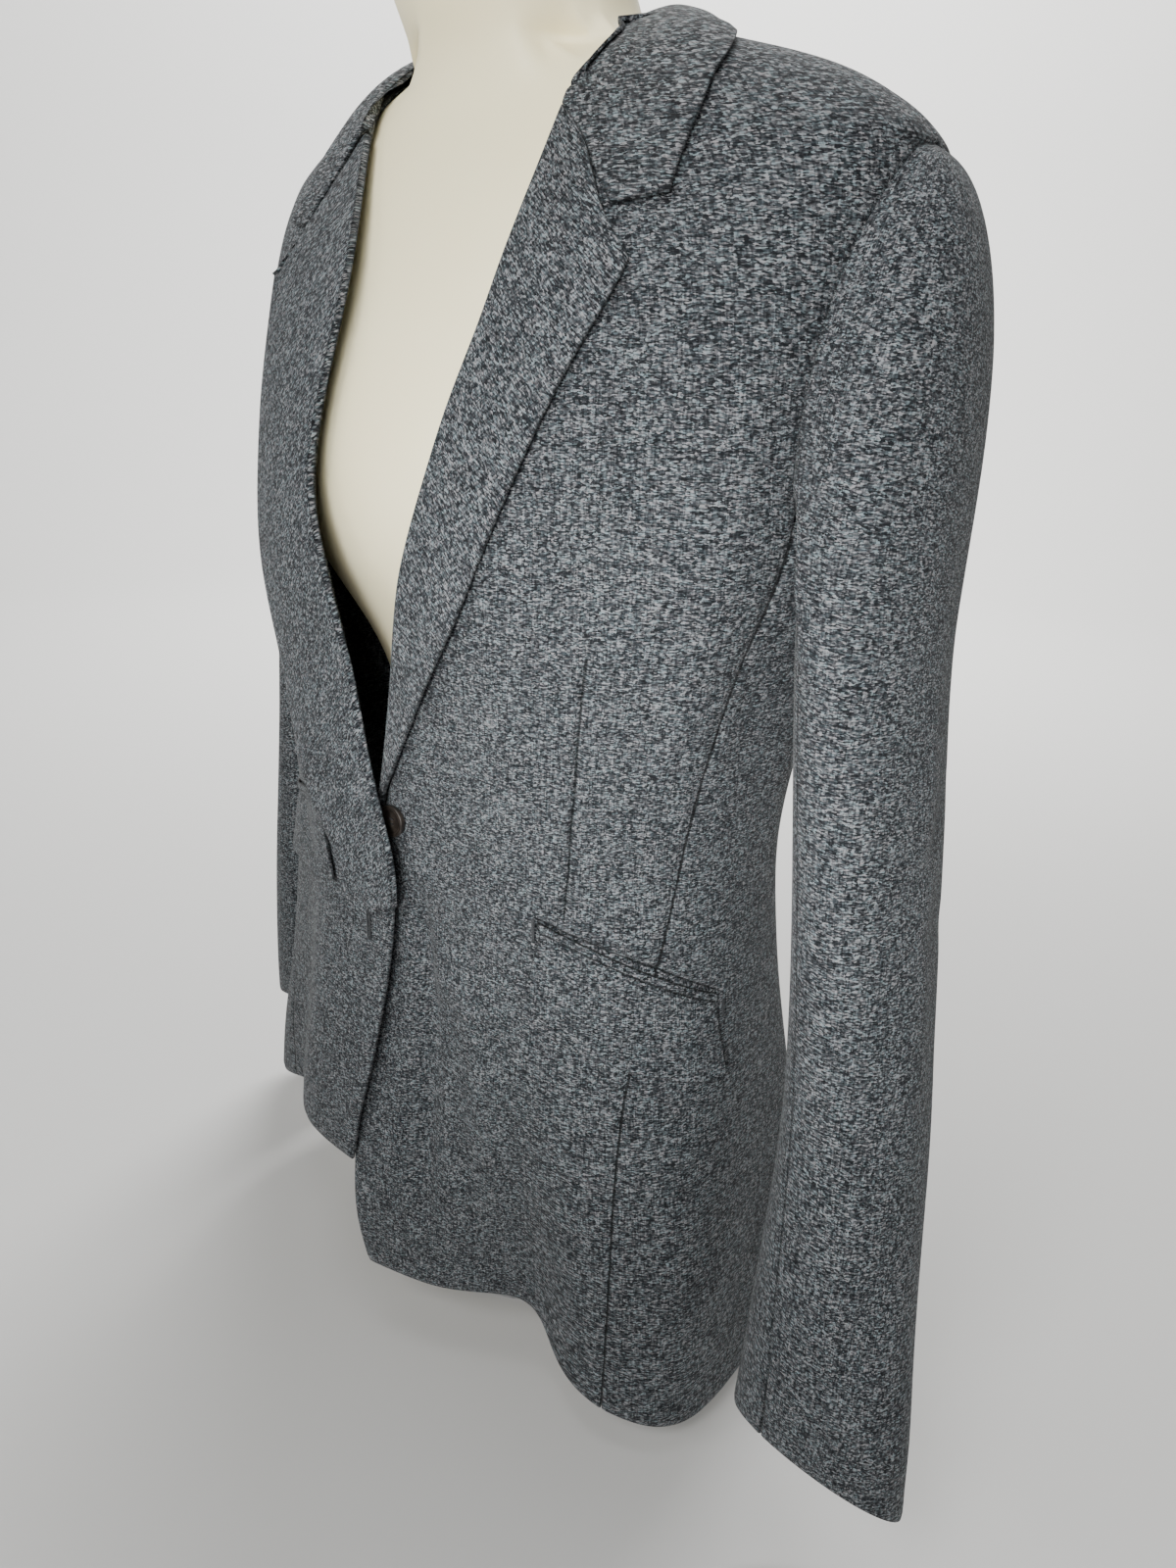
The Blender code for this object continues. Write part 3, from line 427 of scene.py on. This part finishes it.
def sewn_lines(piece, at, lines, rim, rim_seam_shade):
    """Stores how each point lies to the nearest sewn line and to the piece's own rim, for the painted shade
    beside them. The last value says how strongly the rim gets that painted shade: 1 at a seam and 0 at a
    plain edge."""
    nearest = np.where(np.asarray(rim_seam_shade) > 0, rim, 1.0)
    across = nearest * millimetres
    beside = (nearest < beside_reach) * np.asarray(rim_seam_shade, float)
    for start, end, _, _ in lines:
        run = np.array(end) - np.array(start)
        share, off = off_the_line(at, start, end)
        away = np.linalg.norm(off, axis=1)
        side = np.where(run[0] * off[:, 1] - run[1] * off[:, 0] < 0, -millimetres, millimetres)
        here = away < nearest
        nearest = np.where(here, away, nearest)
        across = np.where(here, away * side, across)
        beyond = np.abs(np.clip(share, 0.0, 1.0) - share) * np.linalg.norm(run)
        beside = np.where(here, (away < beside_reach) & (beyond < past_the_end), beside)
    seam = piece.data.attributes.new("seam", "FLOAT_VECTOR", "POINT")
    values = np.stack([across, beside, 1 - rim / beside_reach], 1)
    seam.data.foreach_set("vector", values.astype(np.float32).reshape(-1))


def finish_piece(piece, node, material):
    piece.data.materials.append(material)
    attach(piece, "root")
    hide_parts(node)


# Creases of the body: start and end as (turn in degrees from the front middle towards the
# wearer's left, drop), then half width and depth, both metres. A minus depth is a trough.
around = 0.150


def on_body(turn, drop):
    return (math.radians(turn) * around, drop)


body_creases = [
    (on_body(58, 0.150), on_body(45, 0.268), 0.019, -0.0062),
    (on_body(67, 0.140), on_body(62, 0.330), 0.014, 0.0030),
    (on_body(30, 0.200), on_body(33, 0.300), 0.020, 0.0026),
    (on_body(57, 0.300), on_body(52, 0.380), 0.013, -0.0020),
    (on_body(38, 0.300), on_body(30, 0.390), 0.012, 0.0020),
    (on_body(6, 0.398), on_body(36, 0.376), 0.010, -0.0018),
    (on_body(4, 0.430), on_body(34, 0.452), 0.013, -0.0026),
    (on_body(8, 0.470), on_body(30, 0.490), 0.012, 0.0018),
    (on_body(72, 0.255), on_body(80, 0.340), 0.012, -0.0030),
    (on_body(88, 0.270), on_body(92, 0.390), 0.014, 0.0026),
    (on_body(14, 0.470), on_body(21, 0.620), 0.013, -0.0032),
    (on_body(58, 0.560), on_body(60, 0.690), 0.014, -0.0024),
    (on_body(-50, 0.180), on_body(-42, 0.300), 0.016, -0.0034),
    (on_body(-72, 0.255), on_body(-82, 0.350), 0.013, -0.0032),
    (on_body(-30, 0.430), on_body(-52, 0.400), 0.012, -0.0020),
    (on_body(-40, 0.470), on_body(-44, 0.590), 0.014, -0.0022),
    (on_body(118, 0.230), on_body(140, 0.330), 0.016, -0.0034),
    (on_body(-122, 0.225), on_body(-142, 0.320), 0.018, -0.0030),
    (on_body(150, 0.330), on_body(172, 0.372), 0.014, -0.0036),
    (on_body(-148, 0.345), on_body(-170, 0.360), 0.015, -0.0030),
    (on_body(165, 0.385), on_body(140, 0.402), 0.012, -0.0024),
    (on_body(160, 0.130), on_body(130, 0.150), 0.020, -0.0022),
    (on_body(-158, 0.120), on_body(-128, 0.150), 0.018, -0.0020),
]
# The left front falls away under the lap of the right one, down to the hem.
lap_creases = [
    (on_body(5.0, 0.425), on_body(9.0, 0.505), 0.0085, -0.0075),
    (on_body(9.0, 0.490), on_body(8.0, 0.640), 0.0125, -0.0085),
    (on_body(24.0, 0.480), on_body(31.0, 0.640), 0.0120, 0.0030),
]
# The front darts from the bust to the pocket, and the cuts of the pockets above their jets:
# start and end, then half width and depth of the pressed line.
dart_lines = [
    (on_body(47.4, 0.268), on_body(47.0, 0.298), 0.0016, -0.0022),
    (on_body(47.0, 0.298), on_body(46.9, 0.338), 0.0016, -0.0024),
    (on_body(46.9, 0.338), on_body(46.4, 0.386), 0.0016, -0.0024),
    (on_body(46.4, 0.386), on_body(45.8, 0.412), 0.0016, -0.0020),
    (on_body(-43, 0.255), on_body(-40, 0.320), 0.0016, -0.0022),
    (on_body(-40, 0.320), on_body(-39, 0.378), 0.0016, -0.0022),
    (on_body(40.0, 0.4148), on_body(46.6, 0.4208), 0.0016, -0.0022),
    (on_body(46.6, 0.4208), on_body(53.3, 0.4270), 0.0016, -0.0022),
    (on_body(53.3, 0.4270), on_body(64.0, 0.4398), 0.0016, -0.0022),
    (on_body(64.0, 0.4398), on_body(76.5, 0.4600), 0.0016, -0.0022),
    (on_body(-25, 0.3785), on_body(-46, 0.3930), 0.0016, -0.0020),
    (on_body(-46, 0.3930), on_body(-67, 0.4105), 0.0016, -0.0020),
]


def round_the_body(points):
    """Arc length round the coat and drop below the neck, both metres."""
    turn = np.arctan2(points[:, 0], -points[:, 1])
    return np.stack([turn * around, neck_height - points[:, 2]], 1)


def out_of_the_body(points):
    """Unit vectors out of the coat: level on its sides, rising over the shoulders."""
    centre = np.zeros_like(points)
    centre[:, 2] = np.minimum(points[:, 2], neck_height - 0.150)
    out = points - centre
    return out / np.linalg.norm(out, axis=1, keepdims=True)


def move_out(piece, points, height):
    """Sets a piece's points, each moved out of the coat by its own height."""
    set_points(piece, points + out_of_the_body(points) * height[:, None])


dart_reach = 0.007
pressed_depth = 0.0013
pressed_width = 0.0050
underarm_drop = 0.212
front_edge_arc = around * math.radians(24)


def drape_body(piece, grain, sewn=True, rim_shade_strength=0.0):
    """Creases for a piece that lies on the body of the coat, and darts and pressed seams where
    it is sewn, with a painted shade beside them. The last value says how strongly the painted shade
    at the rim of any other piece shows."""
    if sewn:
        refine(piece, round_the_body, dart_lines, dart_reach, 2)
    points = points_of(piece)
    at = round_the_body(points)
    rim, upright = rim_distance(piece, points)
    height = crease_height(at, body_creases + (lap_creases if "left" in piece.name else []))
    if sewn:
        height += crease_height(at, dart_lines)
        height -= pressed_depth * soft(rim / pressed_width)
        # The side and back seams are sewn. The front edges, armholes and hem are not.
        at_seam = upright & (at[:, 1] > underarm_drop) & (np.abs(at[:, 0]) > front_edge_arc)
        sewn_lines(piece, at, dart_lines, rim, at_seam * 0.9)
    else:
        sewn_lines(piece, at, [], rim, rim_shade_strength)
    thread_direction(piece, at[:, 0], at[:, 1], np.hypot(points[:, 0], points[:, 1]), grain)
    move_out(piece, points, height)


# ---- Fronts, side panels and back ----------------------------------------------------------
# Two fronts cut to the shoulder, two side panels under the arms and a back with a middle seam,
# sewn together with the edges pressed open. Each front has a dart from the bust to the pocket.

# Each cut has a width, a length and an area, all in metres.
body_cuts = {
    "front_left": (0.27, 0.74, 0.126), "front_right": (0.24, 0.66, 0.094),
    "side_left": (0.19, 0.54, 0.084), "side_right": (0.18, 0.48, 0.066),
    "back_left": (0.22, 0.74, 0.135), "back_right": (0.21, 0.71, 0.119),
}
seam_growth = 0.00017
for node, (width, length, area) in body_cuts.items():
    piece = shell(node, "cloth_" + node, 3, seam_growth)
    drape_body(piece, 0)
    finish_piece(piece, node, grey_cloth)


# ---- Front linings -------------------------------------------------------------------------
# Black satin lining inside each front, sewn to the facing and seen only in the open neck.
# It is thin and smooth, with a plain edge.
def drifting_shade(name, scale, detail, dark, pale, roughness, stops=(0.3, 0.7)):
    """A material that drifts between two shades. Returns its shader, place and noise as well."""
    made, shader, tree = new_material(name)
    place = tree.node("ShaderNodeTexCoord", {}, {}, "Object")
    drift = place.noise(scale, detail)
    drift.ramp((stops[0], dark), (stops[1], pale)).into(shader.inputs["Base Color"])
    shader.inputs["Roughness"].default_value = roughness
    return made, shader, place, drift


black_satin, satin_shader, _, satin_weave = drifting_shade(
    "black_satin", 900.0, 2.0, (0.006, 0.006, 0.008), (0.011, 0.011, 0.013), 0.55)
satin_shader.inputs["Specular IOR Level"].default_value = 0.3
add_relief(satin_shader, satin_weave, 0.1, 0.0003)
lining_cuts = {"left": (0.23, 0.47, 0.071), "right": (0.18, 0.42, 0.0555)}
for side, (width, length, area) in lining_cuts.items():
    piece = shell("lining_" + side, "satin_lining_" + side, 2)
    drape_body(piece, 0, sewn=False)
    finish_piece(piece, "lining_" + side, black_satin)

# ---- Lapels and collar ---------------------------------------------------------------------
# The facing folded back along the roll line, and a one piece collar sewn to it at the gorge.
# Both are cut on another grain than the fronts, so their floats lie at a slant.
gorge_growth = 0.0004
folded_depth = 0.0004
folded_width = 0.0040
lapel_cuts = {"left": (52, 0.070, 0.36, 0.0146), "right": (-52, 0.100, 0.42, 0.0272)}
for side, (slant, width, length, area) in lapel_cuts.items():
    piece = shell("lapel_" + side, "cloth_lapel_" + side, 3, gorge_growth)
    points = points_of(piece)
    rim = rim_distance(piece, points)[0]
    at = round_the_body(points)
    sewn_lines(piece, at, [], rim, 0.0)
    thread_direction(piece, at[:, 0], at[:, 1], points[:, 1], slant)
    move_out(piece, points, -folded_depth * soft(rim / folded_width))
    finish_piece(piece, "lapel_" + side, grey_cloth)

stand_radius = 0.092
stand_foot = 0.715
stand_tuck = 0.0040
foot_facing = 0.5
collar_radius = 0.10


def into_the_neckline(place, outward):
    """The foot of the stand goes down inside the neckline, where it is sewn."""
    on_the_stand = math.hypot(place.x, place.y) < stand_radius and outward.z < -foot_facing
    return Vector((0.0, 0.0, -stand_tuck)) if on_the_stand and place.z > stand_foot else Vector()


collar = shell("collar", "cloth_collar", 3, gorge_growth, into_the_neckline)
points = points_of(collar)
rim = rim_distance(collar, points)[0]
sewn_lines(collar, points[:, :2], [], rim, 0.0)
turn_round = np.arctan2(points[:, 0], -points[:, 1])
thread_direction(collar, turn_round * collar_radius, neck_height - points[:, 2],
                 np.hypot(points[:, 0], points[:, 1]), 0)
move_out(collar, points, -folded_depth * soft(rim / folded_width))
finish_piece(collar, "collar", grey_cloth)

# ---- Pockets -------------------------------------------------------------------------------
# A flap pocket low on each front: a flap hanging from a narrow jet, which is sewn proud of it.
# A worked bar tack holds each end of the left jet.
sewing_thread = drifting_shade(
    "grey_sewing_thread", 1500.0, 2.0, (0.010, 0.011, 0.013), (0.040, 0.043, 0.047), 0.7)[0]


def stitch(place, along, length, radius):
    """One stitch: a fat oval lying at a place, along a direction."""
    bpy.ops.mesh.primitive_uv_sphere_add(segments=8, ring_count=5, radius=radius)
    made = bpy.context.object
    made.scale = (1.0, 1.0, length / (2 * radius))
    bpy.ops.object.transform_apply(scale=True)
    turned = Vector(along).to_track_quat("Z", "Y").to_matrix().to_4x4()
    made.data.transform(Matrix.Translation(place) @ turned)
    return made


def join_stitches(stitches, name):
    """Joins stitches into one named piece of thread that stays with the coat."""
    bpy.ops.object.select_all(action="DESELECT")
    for one in stitches:
        one.select_set(True)
    bpy.context.view_layer.objects.active = stitches[0]
    bpy.ops.object.join()
    made = bpy.context.object
    made.name = name
    bpy.ops.object.shade_smooth()
    made.data.materials.clear()
    made.data.materials.append(sewing_thread)
    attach(made, "root")


# The upper line of each flap: turn round the coat against drop.
jet_lines = {
    "left": ((41.8, 52.6, 63.3, 70.3, 76.0), (0.4154, 0.4262, 0.4372, 0.4525, 0.4600)),
    "right": ((-66.0, -26.0), (0.4100, 0.3800)),
}
# The grain of each part, and how strongly the painted shade at its rim shows.
pocket_parts = {"flap": (3, 0.5), "jet": (9, 0.85)}
jet_width = 0.005
flap_slope = 0.010
flap_sunk = 0.0013
pocket_pressed_depth = 0.0004
pocket_pressed_width = 0.003
for side, (turns, drops) in jet_lines.items():
    for part, (slant, rim_shade_strength) in pocket_parts.items():
        node = "pocket_" + part + "_" + side
        piece = shell(node, "cloth_" + node, 3)
        drape_body(piece, slant, sewn=False, rim_shade_strength=rim_shade_strength)
        points = points_of(piece)
        # The flap sinks where it goes under the jet, and both are pressed at their edges.
        sunk = pocket_pressed_depth * soft(rim_distance(piece, points)[0] / pocket_pressed_width)
        if part == "flap":
            turn = np.degrees(np.arctan2(points[:, 0], -points[:, 1]))
            below = neck_height - points[:, 2] - np.interp(turn, turns, drops)
            sunk += flap_sunk * soft((below - jet_width) / flap_slope)
        move_out(piece, points, -sunk)
        finish_piece(piece, node, grey_cloth)

# Each bar tack runs from a low to a high point, and lies proud of the cloth on one side.
bar_tacks = {
    "left_front": ((0.0895, -0.1088, 0.3290), (0.0890, -0.1086, 0.3415), (0.27, -0.96, 0.03)),
    "left_back": ((0.1690, -0.0400, 0.2800), (0.1686, -0.0404, 0.2910), (0.95, -0.29, 0.12)),
}
tack_pitch = 0.0009
tack_width = 0.0022
tack_proud = 0.0004
tack_thread = 0.00055
for name, ends_and_side in bar_tacks.items():
    low, high, out = (Vector(place) for place in ends_and_side)
    out.normalize()
    run = high - low
    across = run.cross(out).normalized()
    rows = int(run.length / tack_pitch)
    places = [low + run * row / rows + out * tack_proud for row in range(rows + 1)]
    bar = [stitch(place, across, tack_width, tack_thread) for place in places]
    join_stitches(bar, "bar_tack_" + name)

# ---- Buttonhole ----------------------------------------------------------------------------
# A worked buttonhole in the right front, just below its lapel: close stitches round a slit,
# in the same grey thread as the bar tacks.
slit_middle = Vector((-0.0187, -0.1272, 0.3060))
slit_along = Vector((0.0, 0.02, 1.0)).normalized()
slit_out = Vector((-0.012, -0.999, 0.02)).normalized()
slit_across = slit_along.cross(slit_out).normalized()
slit_half = 0.0080
slit_rows = 18
slit_proud = slit_out * 0.0003
slit_stitches = []
for row in range(slit_rows + 1):
    height = -slit_half + 2 * slit_half * row / slit_rows
    for hand in (-1, 1):
        place = slit_middle + slit_along * height + slit_across * hand * 0.00105 + slit_proud
        slit_stitches.append(stitch(place, slit_across, 0.0017, 0.00045))
# A wider stitch closes each end.
for hand in (-1, 1):
    place = slit_middle + slit_along * hand * (slit_half + 0.0007) + slit_proud
    slit_stitches.append(stitch(place, slit_across, 0.0030, 0.00055))
join_stitches(slit_stitches, "worked_buttonhole")

# ---- Sleeves -------------------------------------------------------------------------------
# Two piece set-in sleeves: a wide upper and a narrow under part, sewn at front and back, and
# set round the armhole with a little fullness at the crown.

# Creases of each sleeve: start and end as (arc length round it, drop), half width and depth.
sleeve_creases = {
    "left": [
        ((-0.030, 0.330), (0.035, 0.372), 0.010, -0.0020),
        ((-0.040, 0.400), (0.020, 0.386), 0.009, -0.0015),
        ((0.045, 0.120), (0.052, 0.260), 0.012, -0.0016),
        ((0.010, 0.250), (0.020, 0.500), 0.016, 0.0018),
        ((-0.050, 0.180), (-0.040, 0.320), 0.014, -0.0018),
        ((0.020, 0.520), (0.050, 0.600), 0.012, -0.0016),
        ((-0.030, 0.480), (-0.050, 0.640), 0.014, 0.0016),
    ],
    "right": [
        ((-0.030, 0.340), (0.030, 0.362), 0.011, -0.0020),
        ((-0.020, 0.410), (0.040, 0.396), 0.009, -0.0014),
        ((0.048, 0.130), (0.050, 0.280), 0.012, -0.0015),
        ((0.000, 0.260), (0.012, 0.520), 0.018, 0.0018),
        ((-0.050, 0.170), (-0.044, 0.310), 0.014, -0.0018),
        ((-0.024, 0.500), (-0.044, 0.630), 0.014, 0.0014),
    ],
}
sleeve_cuts = {"upper": (0.21, 0.66, 0.108), "under": (0.13, 0.50, 0.046)}
sleeve_radius = 0.045
sleeve_pressed_depth = 0.0006
sleeve_pressed_width = 0.0045
crown_bottom = neck_height - 0.085
calm_length = 0.05
crown_facing = 0.35
armhole_middle = neck_height - 0.145
armhole_bottom = neck_height - 0.245
armhole_tuck = 0.0046
armhole_spread = 0.0009


def into_the_armhole(place, outward):
    """The crown's edge goes in under the fronts and back, as its seam allowance does."""
    inwards = -1.0 if place.x > 0 else 1.0
    if place.z < armhole_bottom or outward.x * inwards < crown_facing:
        return Vector()
    spread = Vector((0.0, place.y, place.z - armhole_middle)).normalized()
    return Vector((inwards * armhole_tuck, 0.0, 0.0)) + spread * armhole_spread


def middle_line(points, reach=0.014):
    """The middle of a tube of points at each of 30 levels: the levels, and x and y at each."""
    levels = np.linspace(points[:, 2].min(), points[:, 2].max(), 30)
    middles = []
    for level in levels:
        near = np.abs(points[:, 2] - level) < reach
        middles.append((points[near].min(0) + points[near].max(0)) / 2)
    return levels, np.array(middles)


for side, sign in (("left", 1), ("right", -1)):
    parts = {}
    for part in sleeve_cuts:
        node = "sleeve_" + part + "_" + side
        parts[part] = shell(node, "cloth_" + node, 3, seam_growth, into_the_armhole)
    levels, middles = middle_line(np.concatenate([points_of(piece) for piece in parts.values()]))
    for part, piece in parts.items():
        points = points_of(piece)
        out = points.copy()
        out[:, 0] -= np.interp(points[:, 2], levels, middles[:, 0])
        out[:, 1] -= np.interp(points[:, 2], levels, middles[:, 1])
        out[:, 2] = 0
        radius = np.linalg.norm(out, axis=1)
        out /= np.maximum(radius, 0.001)[:, None]
        turn = np.arctan2(-out[:, 1], out[:, 0] * sign)
        at = np.stack([turn * sleeve_radius, neck_height - points[:, 2]], 1)
        height = crease_height(at, sleeve_creases[side])
        # No crease near the armhole or the cuff, so the seams stay closed.
        calm = soft((crown_bottom - points[:, 2]) / calm_length)
        calm += soft((points[:, 2] - levels[0]) / calm_length)
        height *= 1 - np.clip(calm, 0, 1)
        rim = rim_distance(piece, points)[0]
        height -= sleeve_pressed_depth * soft(rim / sleeve_pressed_width)
        sewn_lines(piece, at, [], rim, 0.0)
        thread_direction(piece, at[:, 0], at[:, 1], radius, -4)
        set_points(piece, points + out * height[:, None])
        finish_piece(piece, "sleeve_" + part + "_" + side, grey_cloth)
        width, length, area = sleeve_cuts[part]

# ---- Button --------------------------------------------------------------------------------
# A dark horn button with four holes and a raised rim, sewn to the left front at the waist.
# It is turned from one piece, and two bars of thread hold it on.
dark_horn = drifting_shade(
    "dark_horn_finish", 220.0, 3.0, (0.010, 0.008, 0.007), (0.040, 0.032, 0.026), 0.3, (0.35, 0.70))[0]
seat = points_of(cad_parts["button"])
button_middle = Vector((seat.min(0) + seat.max(0)) / 2)
button_out = Vector(np.linalg.svd(seat - seat.mean(0))[2][2])
if button_out.y > 0:
    button_out.negate()
button_radius = 0.0090
button_thickness = 0.0030
rim_width = 0.0017
rim_slope = 0.0007
dish_depth = 0.0009
dish_border = 0.0008
hole_places = (-0.0014, 0.0014)
hole_radius = 0.00075
bpy.ops.object.select_all(action="DESELECT")
bpy.ops.mesh.primitive_cylinder_add(vertices=48, radius=button_radius, depth=button_thickness)
button = bpy.context.object
button.name = "horn_button"
bpy.ops.object.mode_set(mode="EDIT")
bpy.ops.mesh.select_all(action="DESELECT")
bpy.ops.mesh.select_mode(type="FACE")
shape = bmesh.from_edit_mesh(button.data)
for face in shape.faces:
    face.select = face.normal.z > 0.9
bmesh.update_edit_mesh(button.data)
bpy.ops.mesh.inset(thickness=rim_width)
bpy.ops.mesh.inset(thickness=rim_slope)
bpy.ops.transform.translate(value=(0, 0, -dish_depth))
bpy.ops.mesh.inset(thickness=dish_border)
bpy.ops.object.mode_set(mode="OBJECT")
rounded = button.modifiers.new("rounded", "BEVEL")
rounded.width = 0.0005
rounded.segments = 3
rounded.limit_method = "ANGLE"
bpy.ops.object.modifier_apply(modifier="rounded")
for x in hole_places:
    for y in hole_places:
        bpy.ops.mesh.primitive_cylinder_add(vertices=16, radius=hole_radius, depth=0.01, location=(x, y, 0))
        drill = bpy.context.object
        bpy.context.view_layer.objects.active = button
        hole = button.modifiers.new("hole", "BOOLEAN")
        hole.object = drill
        hole.solver = "EXACT"
        bpy.ops.object.modifier_apply(modifier="hole")
        bpy.data.objects.remove(drill)
facing = button_out.to_track_quat("Z", "Y").to_matrix()
place_button = Matrix.Translation(button_middle) @ facing.to_4x4()
button.data.transform(place_button)
bpy.ops.object.select_all(action="DESELECT")
button.select_set(True)
bpy.ops.object.shade_smooth_by_angle(angle=math.radians(35))
finish_piece(button, "button", dark_horn)
# Each bar of thread crosses from hole to hole.
threads = [
    stitch(place_button @ Vector((0.0, y, 0.0008)), facing @ Vector((1, 0, 0)), 0.0040, 0.00042)
    for y in hole_places
]
join_stitches(threads, "button_thread")

# ---- Torso form and stand ------------------------------------------------------------------
# A smooth cream plastic torso with no limbs, moulded in one piece, on a low steel stand.
# The pole and the base are turned steel with a satin finish.
cream, cream_shader, plastic_place, _ = drifting_shade(
    "cream_plastic_finish", 9.0, 3.0, (0.99, 0.89, 0.58), (1.0, 0.92, 0.62), 0.48)
add_relief(cream_shader, plastic_place.noise(700.0, 1.0), 0.05, 0.0004)
torso = shell("form_torso", "plastic_torso", 2)
finish_piece(torso, "form_torso", cream)

steel, steel_shader, _, _ = drifting_shade(
    "satin_steel", 400.0, 2.0, (0.50, 0.50, 0.51), (0.60, 0.60, 0.61), 0.34)
steel_shader.inputs["Metallic"].default_value = 1.0
for node in ("form_base", "form_pole"):
    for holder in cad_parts[node].material_slots:
        holder.material = steel
